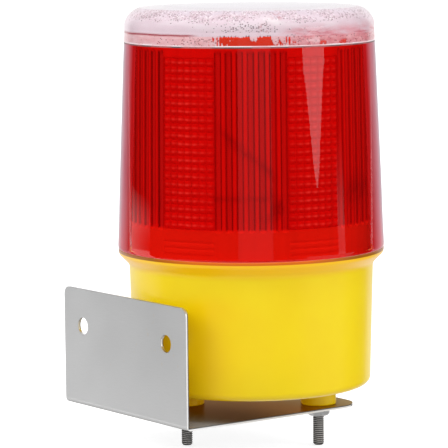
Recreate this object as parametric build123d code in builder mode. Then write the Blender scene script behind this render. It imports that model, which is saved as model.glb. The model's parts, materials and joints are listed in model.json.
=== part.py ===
from build123d import *
import os
import math

# Solar lamp on a folded wall bracket: a round base cup with a battery and a switch, a
# fluted red lens inside a clear cover, and a solar panel under a clear dome.
# Millimetres. The lamp's axis is Z, z = 0 is the lower face of the bracket nuts, and +Y
# points at the wall. Suffixes: _r radius, _t thickness, _h height, _z level.

os.makedirs("parts", exist_ok=True)

# --------------------------------------------------------- shared dimensions
# bracket
sheet_t = 1.0
plate_z0 = 3.2                     # underside of the flat leg
plate_z1 = plate_z0 + sheet_t

# mounting bolts and nuts, M4
stud_circle_r = 23.7
stud_angle = math.degrees(math.atan2(18.5, 14.85))
stud_r = 2.0
stud_engaged_r = 1.8               # pitch radius of the thread, inside the nut
nut_h = plate_z0
nut_flats = 7.0                    # across the flats, of nuts and bolt heads

# base
base_z0 = 12.2                     # underside of the cup
floor_t = 2.5
floor_z = base_z0 + floor_t
flange_z = 61.3                    # face that the cover closes on
neck_r = 39.6
neck_top = 71.0
thread_starts = 3
thread_pitch = 2.2
thread_lead = thread_starts * thread_pitch
ridge_z0 = 62.4                    # centre of a thread ridge at its lower end

# cover and lens
joint_z = 134.8                    # cover meets dome
joint_r = 44.45
joint_lap = 1.2                    # depth of the step in the cover's top edge
lens_r = 43.0

# lamp core
chassis_z = neck_top
chassis_t = 2.0
chassis_top = chassis_z + chassis_t
board_z = 78.0
board_t = 1.6
board_top = board_z + board_t
tray_z = 138.6
tray_floor_t = 2.0
panel_z = tray_z + tray_floor_t
panel_r = 36.4
panel_t = 1.2
solar_cell_t = 0.35
panel_hole_r = 1.2
panel_hole_xy = [(6, 4), (-6, 4)]  # lead holes through tray and panel

# leds, turned outwards on a ring
sector_angle = 53.5                # direction where the first lens sector begins
led_count = 6
led_circle_r = 11.0
led_start_angle = sector_angle - 30
led_z = 92.0
led_ring_r = 9.0
led_flange_r = 2.9
led_leg_circles = (led_circle_r - 1.27, led_circle_r + 1.27)
led_angles = [led_start_angle + 360 / led_count * i for i in range(led_count)]

# slot in the chassis plate that the leads pass through
slot_x, slot_y, slot_angle = 8, -4, 40


# ------------------------------------------------------------------- helpers
def save(builder, name):
    """Label a finished piece and write it."""
    builder.part.label = name
    export_step(builder.part, f"parts/{name}.step")


def polar(radius, angle):
    """The x and y of a point at a radius and an angle in degrees."""
    turn = math.radians(angle)
    return radius * math.cos(turn), radius * math.sin(turn)


def polar_plane(radius, angle, z):
    """Level plane at a polar place, its x pointing outwards."""
    return Plane(origin=(*polar(radius, angle), z), x_dir=(*polar(1, angle), 0), z_dir=(0, 0, 1))


def chassis_screw_places():
    return PolarLocations(34.2, 3, start_angle=sector_angle - 30)


def board_screw_places():
    return PolarLocations(27.0, 3, start_angle=sector_angle + 25)


def post_places():
    return PolarLocations(35.2, 3, start_angle=sector_angle + 30)


def turned(outline):
    """Ring turned about Z from a closed outline of (radius, z) points."""
    with BuildPart() as ring:
        with BuildSketch(Plane.XZ):
            with BuildLine():
                Polyline(*outline)
            make_face()
        revolve(axis=Axis.Z)
    return ring


def thread_tooth(radius, start_z, turns, depth, inner_half, outer_half):
    """Tapered tooth swept along the thread's helix; the halves are its half heights."""
    with BuildPart() as tooth:
        with BuildLine(Plane.XY.offset(start_z)) as rail:
            Helix(pitch=thread_lead, height=thread_lead * turns, radius=radius)
        with BuildSketch(Plane(origin=rail.line @ 0, x_dir=(1, 0, 0), z_dir=rail.line % 0)):
            with BuildLine():
                Polyline((0, -inner_half), (depth, -outer_half), (depth, outer_half),
                         (0, inner_half), (0, -inner_half))
            make_face()
        sweep(path=rail.line, is_frenet=True)
    return tooth


stud_xy = [polar(stud_circle_r, stud_angle), polar(-stud_circle_r, stud_angle)]

# ------------------------------------------------------------------- bracket
# flat leg under the lamp and upright leg against the wall, one folded sheet
bracket_x = 12.9                   # centre of the bracket's width
bracket_w = 75.4
plate_free_y = -31.0               # free edge of the flat leg
wall_y = 46.9                      # outer face of the upright leg
upright_y = wall_y - sheet_t       # its inner face
upright_top = plate_z0 + 42.7
bend_in_r = 0.8
bend_out_r = bend_in_r + sheet_t
stud_hole_r = 2.25
wall_hole_r = 3.1
wall_hole_spacing = 51.6
wall_hole_z = 32.4

with BuildPart() as bracket:
    with BuildSketch(Plane.YZ.offset(bracket_x - bracket_w / 2)):
        with BuildLine():
            Polyline((plate_free_y, plate_z0), (wall_y - bend_out_r, plate_z0))
            RadiusArc((wall_y - bend_out_r, plate_z0), (wall_y, plate_z0 + bend_out_r),
                      -bend_out_r)
            Polyline((wall_y, plate_z0 + bend_out_r), (wall_y, upright_top),
                     (upright_y, upright_top), (upright_y, plate_z1 + bend_in_r))
            RadiusArc((upright_y, plate_z1 + bend_in_r), (upright_y - bend_in_r, plate_z1),
                      bend_in_r)
            Polyline((upright_y - bend_in_r, plate_z1), (plate_free_y, plate_z1),
                     (plate_free_y, plate_z0))
        make_face()
    extrude(amount=bracket_w)
    # round the free corners of the flat leg, then of the upright leg
    fillet(bracket.edges().filter_by(Axis.Z).group_by(Axis.Y)[0], radius=9.0)
    fillet(bracket.edges().filter_by(Axis.Y).group_by(Axis.Z)[-1], radius=3.0)
    with BuildSketch(Plane.XY.offset(plate_z0 - 1)):
        with Locations(*stud_xy):
            Circle(stud_hole_r)
    extrude(amount=sheet_t + 2, mode=Mode.SUBTRACT)
    with BuildSketch(Plane.XZ.offset(-wall_y - 1)):
        with Locations((bracket_x - wall_hole_spacing / 2, wall_hole_z),
                       (bracket_x + wall_hole_spacing / 2, wall_hole_z)):
            Circle(wall_hole_r)
    extrude(amount=sheet_t + 2, mode=Mode.SUBTRACT)
save(bracket, "bracket")

# ------------------------------------------------------------ mounting bolts
bolt_head_h = 2.8
stud_upper_r = 1.95                # above the nut
stud_tip_z = -10.8

with BuildPart() as mounting_bolts:
    with BuildSketch(Plane.XY.offset(floor_z)):
        with Locations(*stud_xy):
            RegularPolygon(radius=nut_flats / 2, side_count=6, major_radius=False)
    extrude(amount=bolt_head_h)
    chamfer(mounting_bolts.faces().sort_by(Axis.Z)[-2:].edges(), length=0.3)
    # shank above the nut, inside the nut, and below it
    with BuildSketch(Plane.XY.offset(floor_z)):
        with Locations(*stud_xy):
            Circle(stud_upper_r)
    extrude(amount=nut_h - floor_z)
    with BuildSketch(Plane.XY.offset(nut_h)):
        with Locations(*stud_xy):
            Circle(stud_engaged_r)
    extrude(amount=-nut_h)
    with BuildSketch(Plane.XY):
        with Locations(*stud_xy):
            Circle(stud_r)
    extrude(amount=stud_tip_z)
    chamfer(mounting_bolts.faces().sort_by(Axis.Z)[:2].edges(), length=0.5)
save(mounting_bolts, "mounting_bolts")

# ------------------------------------------------------------- bracket nuts
with BuildPart() as bracket_nuts:
    with BuildSketch(Plane.XY):
        with Locations(*stud_xy):
            RegularPolygon(radius=nut_flats / 2, side_count=6, major_radius=False, rotation=17)
    extrude(amount=nut_h)
    # cone that bevels the lower corners
    with BuildSketch(Plane.XY):
        with Locations(*stud_xy):
            Circle(nut_flats / 2 + 0.12)
    extrude(amount=nut_h, taper=-30, mode=Mode.INTERSECT)
    with BuildSketch(Plane.XY):
        with Locations(*stud_xy):
            Circle(stud_engaged_r)
    extrude(amount=nut_h, mode=Mode.SUBTRACT)
save(bracket_nuts, "bracket_nuts")

# -------------------------------------------------------------- base housing
switch_x, switch_y = 0.0, -33.0
bush_r = 2.9                       # threaded bush of the switch
flange_r = 47.4
neck_in_r = 37.2
seal_groove_r0 = 44.4
seal_groove_r1 = 46.5
seal_groove_z = 60.1
ridge_r = 40.6
ridge_turns = 0.92
ridge_root = 0.3                   # how far a ridge is sunk into the neck
foot_r = 6.4
boss_z0 = 56
# battery holder's screws, placed along the holder; it lies across the bolt line
holder_angle = stud_angle + 90
holder_screw_places = [(-20, 0), (20, 0)]
holder_post_h = 3.0

thread_ridge = thread_tooth(radius=neck_r - ridge_root, start_z=ridge_z0, turns=ridge_turns,
                            depth=ridge_r - neck_r + ridge_root, inner_half=0.62, outer_half=0.3)

with BuildPart() as base_housing:
    with BuildSketch(Plane.XZ):
        with BuildLine():          # (radius, z): up the outside, down the inside
            Line((0, base_z0), (39.9, base_z0))
            ThreePointArc((39.9, base_z0), (41.7, base_z0 + 0.8), (42.45, base_z0 + 2.7))
            Line((42.45, base_z0 + 2.7), (43.52, 54.6))
            ThreePointArc((43.52, 54.6), (43.75, 55.65), (44.35, 56.6))
            Line((44.35, 56.6), (46.3, 58.6))
            ThreePointArc((46.3, 58.6), (47.1, 59.45), (flange_r, 60.3))
            Polyline((flange_r, 60.3), (flange_r, flange_z - 0.25), (flange_r - 0.25, flange_z),
                     (seal_groove_r1, flange_z), (seal_groove_r1, seal_groove_z),
                     (seal_groove_r0, seal_groove_z), (seal_groove_r0, flange_z),
                     (neck_r, flange_z), (neck_r, neck_top - 0.4), (neck_r - 0.4, neck_top),
                     (neck_in_r, neck_top), (neck_in_r, 58.4), (40.9, 54.6),
                     (39.7, floor_z + 2), (37.7, floor_z), (0, floor_z), (0, base_z0))
        make_face()
    revolve(axis=Axis.Z)
    # three-start thread on the neck
    for i in range(thread_starts):
        add(thread_ridge.part, rotation=(0, 0, sector_angle + 360 / thread_starts * i))
    # two feet that stand on the bracket
    with BuildSketch(Plane.XY.offset(plate_z1)):
        with Locations(*stud_xy):
            Circle(foot_r)
    extrude(amount=base_z0 + 1 - plate_z1)
    fillet(base_housing.faces().filter_by(Axis.Z).sort_by(Axis.Z)[:2].edges(), radius=0.5)
    with BuildSketch(Plane.XY.offset(plate_z1 - 1)):
        with Locations(*stud_xy):
            Circle(stud_r + 0.15)
    extrude(amount=floor_z + 2 - plate_z1, mode=Mode.SUBTRACT)
    # screw bosses on the inside of the neck
    with BuildSketch(Plane.XY.offset(boss_z0)):
        with chassis_screw_places():
            Circle(3.6)
    extrude(amount=neck_top - boss_z0)
    with BuildSketch(Plane.XY.offset(neck_top)):
        with chassis_screw_places():
            Circle(1.5)
    extrude(amount=-11, mode=Mode.SUBTRACT)
    # two screw posts for the battery holder, rooted 0.5 in the floor
    with BuildSketch(Plane.XY.offset(floor_z - 0.5)):
        with Locations(Location((0, 0, 0), (0, 0, holder_angle))):
            with Locations(*holder_screw_places):
                Circle(3.0)
    extrude(amount=holder_post_h + 0.5)
    with BuildSketch(Plane.XY.offset(floor_z + holder_post_h)):
        with Locations(Location((0, 0, 0), (0, 0, holder_angle))):
            with Locations(*holder_screw_places):
                Circle(1.05)
    extrude(amount=-4.2, mode=Mode.SUBTRACT)
    # switch hole
    with BuildSketch(Plane.XY.offset(base_z0 - 1)):
        with Locations((switch_x, switch_y)):
            Circle(bush_r + 0.1)
    extrude(amount=floor_t + 2, mode=Mode.SUBTRACT)
save(base_housing, "base_housing")

# ---------------------------------------------------------------- cover seal
# (radius, z)
seal_outline = [
    (44.9, 60.13), (46.0, 60.13), (46.4, 60.5), (46.4, 61.05), (46.0, 61.39),
    (44.9, 61.39), (44.5, 61.05), (44.5, 60.5), (44.9, 60.13),
]
cover_seal = turned(seal_outline)
save(cover_seal, "cover_seal")

# -------------------------------------------------------------------- switch
# push switch: case inside the cup, threaded bush through the floor,
# washer and nut outside, button in the bush
case_w = 8.4
case_h = 9.0
bush_z0 = 9.0                      # lower end of the bush
terminal_x = 2.2                   # each side of the switch's centre
terminal_h = 3.4
washer_t = 0.8
switch_nut_h = 1.8
nut_bore_r = bush_r + 0.06         # of the washer too
button_z0 = 6.2

with BuildPart() as switch_body:
    with BuildSketch(Plane.XY.offset(floor_z)):
        with Locations((switch_x, switch_y)):
            RectangleRounded(case_w, case_w, 0.8)
    extrude(amount=case_h)
    with BuildSketch(Plane.XY.offset(floor_z)):
        with Locations((switch_x, switch_y)):
            Circle(bush_r)
    extrude(amount=bush_z0 - floor_z)
    chamfer(switch_body.faces().sort_by(Axis.Z)[0].edges(), length=0.3)
    with BuildSketch(Plane.XY.offset(bush_z0)):
        with Locations((switch_x, switch_y)):
            Circle(1.9)
    extrude(amount=10.2, mode=Mode.SUBTRACT)
    with BuildSketch(Plane.XY.offset(floor_z + case_h)):
        with Locations((switch_x - terminal_x, switch_y), (switch_x + terminal_x, switch_y)):
            Rectangle(0.5, 1.6)
    extrude(amount=terminal_h)
save(switch_body, "switch_body")

with BuildPart() as switch_washer:
    with BuildSketch(Plane.XY.offset(base_z0 - washer_t)):
        with Locations((switch_x, switch_y)):
            Circle(4.4)
            Circle(nut_bore_r, mode=Mode.SUBTRACT)
    extrude(amount=washer_t)
save(switch_washer, "switch_washer")

with BuildPart() as switch_nut:
    with BuildSketch(Plane.XY.offset(base_z0 - washer_t - switch_nut_h)):
        with Locations((switch_x, switch_y)):
            RegularPolygon(radius=4.0, side_count=6, major_radius=False)
            Circle(nut_bore_r, mode=Mode.SUBTRACT)
    extrude(amount=switch_nut_h)
save(switch_nut, "switch_nut")

with BuildPart() as switch_button:
    with BuildSketch(Plane.XY.offset(button_z0)):
        with Locations((switch_x, switch_y)):
            Circle(1.84)
    extrude(amount=11.4)
    fillet(switch_button.faces().sort_by(Axis.Z)[0].edges(), radius=0.6)
save(switch_button, "switch_button")

# ------------------------------------------------------------ battery holder
holder_z = floor_z + holder_post_h
holder_floor_t = 2.0
pocket_len = 56.0
holder_plane = polar_plane(radius=0, angle=holder_angle, z=0)

with BuildPart() as battery_holder:
    with BuildSketch(holder_plane.offset(holder_z)):
        RectangleRounded(62, 18.6, 1.5)
    extrude(amount=13.0)
    with BuildSketch(holder_plane.offset(holder_z + holder_floor_t)):
        Rectangle(pocket_len, 15.4)
    extrude(amount=20, mode=Mode.SUBTRACT)
    # notches in the long walls
    with BuildSketch(holder_plane.offset(holder_z + 8.0)):
        Rectangle(26, 30)
    extrude(amount=20, mode=Mode.SUBTRACT)
    with BuildSketch(holder_plane.offset(holder_z)):
        with Locations(*holder_screw_places):
            Circle(1.3)
    extrude(amount=3, mode=Mode.SUBTRACT)
save(battery_holder, "battery_holder")

with BuildPart() as holder_screws:
    with BuildSketch(holder_plane.offset(holder_z - 4.0)):
        with Locations(*holder_screw_places):
            Circle(1.0)
    extrude(amount=4.0 + holder_floor_t)
    with BuildSketch(holder_plane.offset(holder_z + holder_floor_t)):
        with Locations(*holder_screw_places):
            Circle(1.7)
    extrude(amount=0.3)
save(holder_screws, "holder_screws")

# -------------------------------------------------------------- battery cell
cell_r = 7.2
cell_len = 49.2
cell_cap_len = 1.1                 # small end cap
cell_start = pocket_len / 2 - 0.5 - cell_cap_len - cell_len   # along the holder, from its middle
cell_axis_z = holder_z + holder_floor_t + cell_r + 0.6
# at the cell's flat end: x points up, z along the holder
cell_plane = Plane(origin=(*polar(cell_start, holder_angle), cell_axis_z),
                   x_dir=(0, 0, 1), z_dir=(*polar(1, holder_angle), 0))

with BuildPart() as battery_cell:
    with BuildSketch(cell_plane):
        Circle(cell_r)
    extrude(amount=cell_len)
    fillet(battery_cell.edges().filter_by(GeomType.CIRCLE), radius=0.6)
    with BuildSketch(cell_plane.offset(cell_len)):
        Circle(2.7)
    extrude(amount=cell_cap_len)
save(battery_cell, "battery_cell")

# ---------------------------------------------------------- battery contacts
# each is a plate with a solder tag that stands above the holder's wall
contact_h, contact_w, contact_t = 11.5, 11.0, 0.4
tag_h, tag_w = 3.4, 3.0
tag_mid = 6.6                      # tag's centre above the cell's axis

with BuildPart() as battery_contact:
    with BuildSketch(cell_plane.offset(cell_len + cell_cap_len + 0.05)):
        Rectangle(contact_h, contact_w)
        with Locations((tag_mid, 0)):
            Rectangle(tag_h, tag_w)
    extrude(amount=contact_t)
save(battery_contact, "battery_contact")

# plate and coil in the gap between the cell's flat end and the pocket's end
spring_gap = pocket_len / 2 + cell_start - 0.05
coil_inset = 0.55                  # coil's start, from the plate's outer face
coil_clearance = 0.5               # coil's end, from the cell

with BuildPart() as battery_spring:
    with BuildSketch(cell_plane.offset(-spring_gap)):
        Rectangle(contact_h, contact_w)
        with Locations((tag_mid, 0)):
            Rectangle(tag_h, tag_w)
    extrude(amount=contact_t)
    with BuildLine() as coil:
        Helix(pitch=1.3, height=spring_gap - coil_inset - coil_clearance, radius=4.2,
              center=(*polar(cell_start - spring_gap + coil_inset, holder_angle), cell_axis_z),
              direction=(*polar(1, holder_angle), 0))
    with BuildSketch(Plane(origin=coil.line @ 0, z_dir=coil.line % 0)):
        Circle(0.36)
    sweep(path=coil.line, is_frenet=True)
save(battery_spring, "battery_spring")

# ------------------------------------------------------------- chassis plate
with BuildPart() as chassis_plate:
    with BuildSketch(Plane.XY.offset(chassis_z)):
        Circle(39.3)
        with chassis_screw_places():
            Circle(1.65, mode=Mode.SUBTRACT)
        with post_places():
            Circle(1.5, mode=Mode.SUBTRACT)
        with Locations((slot_x, slot_y)):
            SlotOverall(16, 7, rotation=slot_angle, mode=Mode.SUBTRACT)
    extrude(amount=chassis_t)
    # stand-offs under the circuit board
    with BuildSketch(Plane.XY.offset(chassis_top)):
        with board_screw_places():
            Circle(3.0)
            Circle(1.05, mode=Mode.SUBTRACT)
    extrude(amount=board_z - chassis_top)
    # stiffening ring
    with BuildSketch(Plane.XY.offset(chassis_top)):
        Circle(22.0)
        Circle(20.8, mode=Mode.SUBTRACT)
    extrude(amount=1.6)
save(chassis_plate, "chassis_plate")

chassis_screw_depth = 9.5          # below the plate
with BuildPart() as chassis_screws:
    with BuildSketch(Plane.XY.offset(chassis_z - chassis_screw_depth)):
        with chassis_screw_places():
            Circle(1.45)
    extrude(amount=chassis_screw_depth + chassis_t)
    with BuildSketch(Plane.XY.offset(chassis_top)):
        with chassis_screw_places():
            Circle(2.8)
    extrude(amount=2.0)
    fillet(chassis_screws.faces().sort_by(Axis.Z)[-3:].edges(), radius=0.7)
    # cross recess
    with BuildSketch(Plane.XY.offset(chassis_top + 0.9)):
        with chassis_screw_places():
            Rectangle(2.6, 0.6)
            Rectangle(0.6, 2.6)
    extrude(amount=2.0, mode=Mode.SUBTRACT)
save(chassis_screws, "chassis_screws")

# ------------------------------------------------------------- circuit board
with BuildPart() as circuit_board:
    with BuildSketch(Plane.XY.offset(board_z)):
        Circle(33.0)
        with board_screw_places():
            Circle(1.3, mode=Mode.SUBTRACT)
        for leg_circle_r in led_leg_circles:
            with PolarLocations(leg_circle_r, led_count, start_angle=led_start_angle):
                Circle(0.45, mode=Mode.SUBTRACT)
        # notch in the edge
        with PolarLocations(31.0, 1, start_angle=sector_angle + 215):
            Rectangle(8, 5, mode=Mode.SUBTRACT)
    extrude(amount=board_t)
save(circuit_board, "circuit_board")

board_screw_z0 = chassis_top + 0.6
with BuildPart() as board_screws:
    with BuildSketch(Plane.XY.offset(board_screw_z0)):
        with board_screw_places():
            Circle(1.0)
    extrude(amount=board_top - board_screw_z0)
    with BuildSketch(Plane.XY.offset(board_top)):
        with board_screw_places():
            Circle(2.1)
    extrude(amount=1.4)
    fillet(board_screws.faces().sort_by(Axis.Z)[-3:].edges(), radius=0.5)
save(board_screws, "board_screws")

# ---------------------------------------------------------- board components
chip_place = {"radius": 21, "angle": sector_angle + 100}
with BuildPart() as controller_chip:
    with BuildSketch(polar_plane(**chip_place, z=board_top + 0.3)):
        Rectangle(4.0, 5.0)
    extrude(amount=1.5)
    chamfer(controller_chip.faces().sort_by(Axis.Z)[-1].edges(), length=0.2)
    # pins
    with BuildSketch(polar_plane(**chip_place, z=board_top)):
        with GridLocations(5.2, 1.27, 2, 4):
            Rectangle(1.5, 0.42)
    extrude(amount=0.45)
save(controller_chip, "controller_chip")

inductor_place = {"radius": 21, "angle": sector_angle + 60}
inductor_flange_r, inductor_flange_t = 3.6, 1.0
winding_r, winding_h = 2.9, 4.2
with BuildPart() as inductor_coil:
    with BuildSketch(polar_plane(**inductor_place, z=board_top)):
        Circle(inductor_flange_r)
    extrude(amount=inductor_flange_t)
    with BuildSketch(polar_plane(**inductor_place, z=board_top + inductor_flange_t)):
        Circle(winding_r)
    extrude(amount=winding_h)
    with BuildSketch(polar_plane(**inductor_place, z=board_top + inductor_flange_t + winding_h)):
        Circle(inductor_flange_r)
    extrude(amount=inductor_flange_t)
    fillet(inductor_coil.faces().sort_by(Axis.Z)[-1].edges(), radius=0.3)
save(inductor_coil, "inductor_coil")

with BuildPart() as capacitor:
    with BuildSketch(polar_plane(radius=20, angle=sector_angle + 150, z=board_top + 0.2)):
        Circle(3.15)
    extrude(amount=11.0)
    fillet(capacitor.faces().sort_by(Axis.Z)[-1].edges(), radius=0.6)
save(capacitor, "capacitor")

# ---------------------------------------------------------------------- leds
# hollow hub with a ring that turns the leds outwards
hub_in_r, hub_r = 5.0, 6.6
led_ring_half_h = 4.0
with BuildPart() as led_holder:
    with BuildSketch(Plane.XZ):
        with BuildLine():
            Polyline((hub_in_r, board_top), (hub_r, board_top), (hub_r, led_z - led_ring_half_h),
                     (led_ring_r, led_z - led_ring_half_h), (led_ring_r, led_z + led_ring_half_h),
                     (hub_in_r, led_z + led_ring_half_h), (hub_in_r, board_top))
        make_face()
    revolve(axis=Axis.Z)
    chamfer(led_holder.faces().sort_by(Axis.Z)[-1].edges(), length=0.5)
save(led_holder, "led_holder")

led_r = 2.5
led_back = led_ring_r + 0.05       # distances from the lamp's axis
led_flange_end = 10.1
led_dome_centre = 14.0
led_tip = led_dome_centre + led_r
led_arc_mid = led_r * math.cos(math.pi / 4)
with BuildPart() as leds:
    for angle in led_angles:
        out_x, out_y = polar(1, angle)
        with BuildSketch(Plane(origin=(0, 0, led_z), x_dir=(out_x, out_y, 0),
                               z_dir=(out_y, -out_x, 0))):
            with BuildLine():
                Polyline((led_dome_centre, led_r), (led_flange_end, led_r),
                         (led_flange_end, led_flange_r), (led_back, led_flange_r),
                         (led_back, 0), (led_tip, 0))
                ThreePointArc((led_tip, 0), (led_dome_centre + led_arc_mid, led_arc_mid),
                              (led_dome_centre, led_r))
            make_face()
        revolve(axis=Axis((0, 0, led_z), (out_x, out_y, 0)))
save(leds, "leds")

leg_z0 = board_z - 1.0
leg_z1 = led_z - led_flange_r - 0.05
with BuildPart() as led_legs:
    for angle in led_angles:
        for leg_circle_r in led_leg_circles:
            with BuildSketch(polar_plane(leg_circle_r, angle, leg_z0)):
                Rectangle(0.5, 0.5)
            extrude(amount=leg_z1 - leg_z0)
save(led_legs, "led_legs")

# ---------------------------------------------------- panel posts and tray
post_z0 = chassis_z + 0.2
with BuildPart() as panel_posts:
    # spigots in the chassis plate, then the posts
    with BuildSketch(Plane.XY.offset(post_z0)):
        with post_places():
            Circle(1.45)
    extrude(amount=chassis_top - post_z0)
    with BuildSketch(Plane.XY.offset(chassis_top)):
        with post_places():
            Circle(2.0)
    extrude(amount=tray_z - chassis_top)
    with BuildSketch(Plane.XY.offset(tray_z)):
        with post_places():
            Circle(1.05)
    extrude(amount=-6, mode=Mode.SUBTRACT)
save(panel_posts, "panel_posts")

tray_r = 38.2
tray_wall_t = 1.4
tray_top = tray_z + 3.6
countersink_h = 0.9
countersink_taper = -42
with BuildPart() as panel_tray:
    with BuildSketch(Plane.XZ):
        with BuildLine():
            Polyline((0, tray_z), (tray_r - 0.6, tray_z), (tray_r, tray_z + 0.6),
                     (tray_r, tray_top), (tray_r - tray_wall_t, tray_top),
                     (tray_r - tray_wall_t, panel_z), (0, panel_z), (0, tray_z))
        make_face()
    revolve(axis=Axis.Z)
    with BuildSketch(Plane.XY.offset(tray_z - 1)):
        with post_places():
            Circle(1.05)
        with Locations(*panel_hole_xy):
            Circle(panel_hole_r)
    extrude(amount=4, mode=Mode.SUBTRACT)
    with BuildSketch(Plane.XY.offset(panel_z - countersink_h)):
        with post_places():
            Circle(1.25)
    extrude(amount=countersink_h, taper=countersink_taper, mode=Mode.SUBTRACT)
save(panel_tray, "panel_tray")

tray_screw_depth = 4.5             # below the tray
tray_screw_top = panel_z - 0.05
tray_screw_head_h = 0.8
with BuildPart() as tray_screws:
    with BuildSketch(Plane.XY.offset(tray_z - tray_screw_depth)):
        with post_places():
            Circle(1.0)
    extrude(amount=tray_screw_top - tray_z + tray_screw_depth)
    with BuildSketch(Plane.XY.offset(tray_screw_top - tray_screw_head_h)):
        with post_places():
            Circle(1.15)
    extrude(amount=tray_screw_head_h, taper=countersink_taper)
save(tray_screws, "tray_screws")

# --------------------------------------------------------------- solar panel
with BuildPart() as solar_panel:
    with BuildSketch(Plane.XY.offset(panel_z)):
        Circle(panel_r)
        with Locations(*panel_hole_xy):
            Circle(panel_hole_r, mode=Mode.SUBTRACT)
    extrude(amount=panel_t)
save(solar_panel, "solar_panel")

# disc cut into six strips by five gaps
strip_pitch = 13.6
with BuildPart() as solar_cells:
    with BuildSketch(Plane.XY.offset(panel_z + panel_t)):
        Circle(panel_r - 1.2)
        for i in range(-2, 3):
            with Locations((0, strip_pitch * i)):
                Rectangle(80, 0.7, mode=Mode.SUBTRACT)
    extrude(amount=solar_cell_t)
save(solar_cells, "solar_cells")

with BuildPart() as cell_ribbons:
    with BuildSketch(Plane.XY.offset(panel_z + panel_t + solar_cell_t)):
        with Locations((-12, 0), (12, 0)):
            Rectangle(1.6, 59)
    extrude(amount=0.15)
save(cell_ribbons, "cell_ribbons")

# --------------------------------------------------------------------- wires
power_wire_r = 0.75
switch_wire_r = 0.6
lead_end_z = board_z - 0.15        # just under the board
front_x, front_y = polar(1, 143.5)
side_x, side_y = -0.6, -0.8        # a quarter turn counterclockwise from the front, nearly


def wire(points, radius):
    """Insulated wire along a smooth line through the given points."""
    with BuildPart() as strand:
        with BuildLine() as path:
            Spline(*points)
        with BuildSketch(Plane(origin=path.line @ 0, z_dir=path.line % 0)):
            Circle(radius)
        sweep(path=path.line)
    return strand


def front_point(front, side, z):
    """Point given by its distances along the front and side directions."""
    return front * front_x + side * side_x, front * front_y + side * side_y, z


# from the holes under the panel down to the board's top face
panel_lead_red = wire([
    (6, 4, tray_z - 0.1), (6.2, 4.4, tray_z - 4),
    front_point(12, -12, 124), front_point(22, -10, 108), front_point(25, 0, 97),
    front_point(24.5, 8, 88), front_point(23.5, 11.3, 83),
    front_point(23.5, 11.5, board_top + 0.3),
], power_wire_r)
save(panel_lead_red, "panel_lead_red")
panel_lead_black = wire([
    (-6, 4, tray_z - 0.1), (-6.4, 4.6, tray_z - 4),
    front_point(8, -18, 126), front_point(19, -17, 112), front_point(27.5, -9, 100),
    front_point(28, 1, 90), front_point(27.2, 7, 83.5), front_point(27, 8, board_top + 0.3),
], power_wire_r)
save(panel_lead_black, "panel_lead_black")

# four places along the chassis plate's slot
slot_dir_x, slot_dir_y = polar(1, slot_angle)
slot_xy = [(slot_x + along * slot_dir_x, slot_y + along * slot_dir_y)
           for along in (-4.8, -1.6, 1.6, 4.8)]
tag_top_z = cell_axis_z + tag_mid + tag_h / 2
terminal_top_z = floor_z + case_h + terminal_h


def battery_lead(reach, rise_z, place, below_z, shift):
    """Wire from a tag at a reach along the holder, up through a place in the slot."""
    place_x, place_y = place
    return wire([
        (*polar(reach, holder_angle), tag_top_z + 0.2),
        (*polar(0.9 * reach, holder_angle), rise_z),
        (place_x, place_y, below_z),
        (place_x, place_y, 74),
        (place_x + shift, place_y + shift, lead_end_z),
    ], power_wire_r)


battery_lead_red = battery_lead(reach=pocket_len / 2 - 0.3, rise_z=44, place=slot_xy[0],
                                below_z=62, shift=-0.4)
save(battery_lead_red, "battery_lead_red")
battery_lead_black = battery_lead(reach=0.25 - pocket_len / 2, rise_z=43, place=slot_xy[3],
                                  below_z=60, shift=0.4)
save(battery_lead_black, "battery_lead_black")


def switch_lead(start_x, bend_x, place):
    """Wire from a switch terminal up through a place in the slot."""
    return wire([
        (switch_x + start_x, switch_y, terminal_top_z + 0.1),
        (switch_x + bend_x, switch_y + 4, 44),
        (*place, 64),
        (*place, lead_end_z),
    ], switch_wire_r)


switch_lead_a = switch_lead(start_x=-terminal_x, bend_x=-2.0, place=slot_xy[1])
switch_lead_b = switch_lead(start_x=terminal_x, bend_x=4.0, place=slot_xy[2])
with BuildPart() as switch_leads:
    add(switch_lead_a.part)
    add(switch_lead_b.part)
save(switch_leads, "switch_leads")

# --------------------------------------------------------------- clear cover
rim_z = 61.4
rim_r = 47.5
bore_rim_r = 43.7
bore_joint_r = 43.25
cover_top = joint_z - 0.05
cover_step_r = 43.9
# (radius, z): rim, up the outside, step at the joint, bore
cover_outline = [
    (bore_rim_r, rim_z), (rim_r - 0.3, rim_z), (rim_r, rim_z + 0.3), (rim_r, rim_z + 1.2),
    (rim_r - 0.4, rim_z + 9.6), (46.6, 85.3), (46.0, 99.6), (45.4, 113.8), (44.8, 128.0),
    (joint_r, cover_top), (cover_step_r, cover_top), (cover_step_r, joint_z - joint_lap),
    (bore_joint_r, joint_z - joint_lap), (bore_rim_r, rim_z),
]
clear_cover = turned(cover_outline)
save(clear_cover, "clear_cover")

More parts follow.
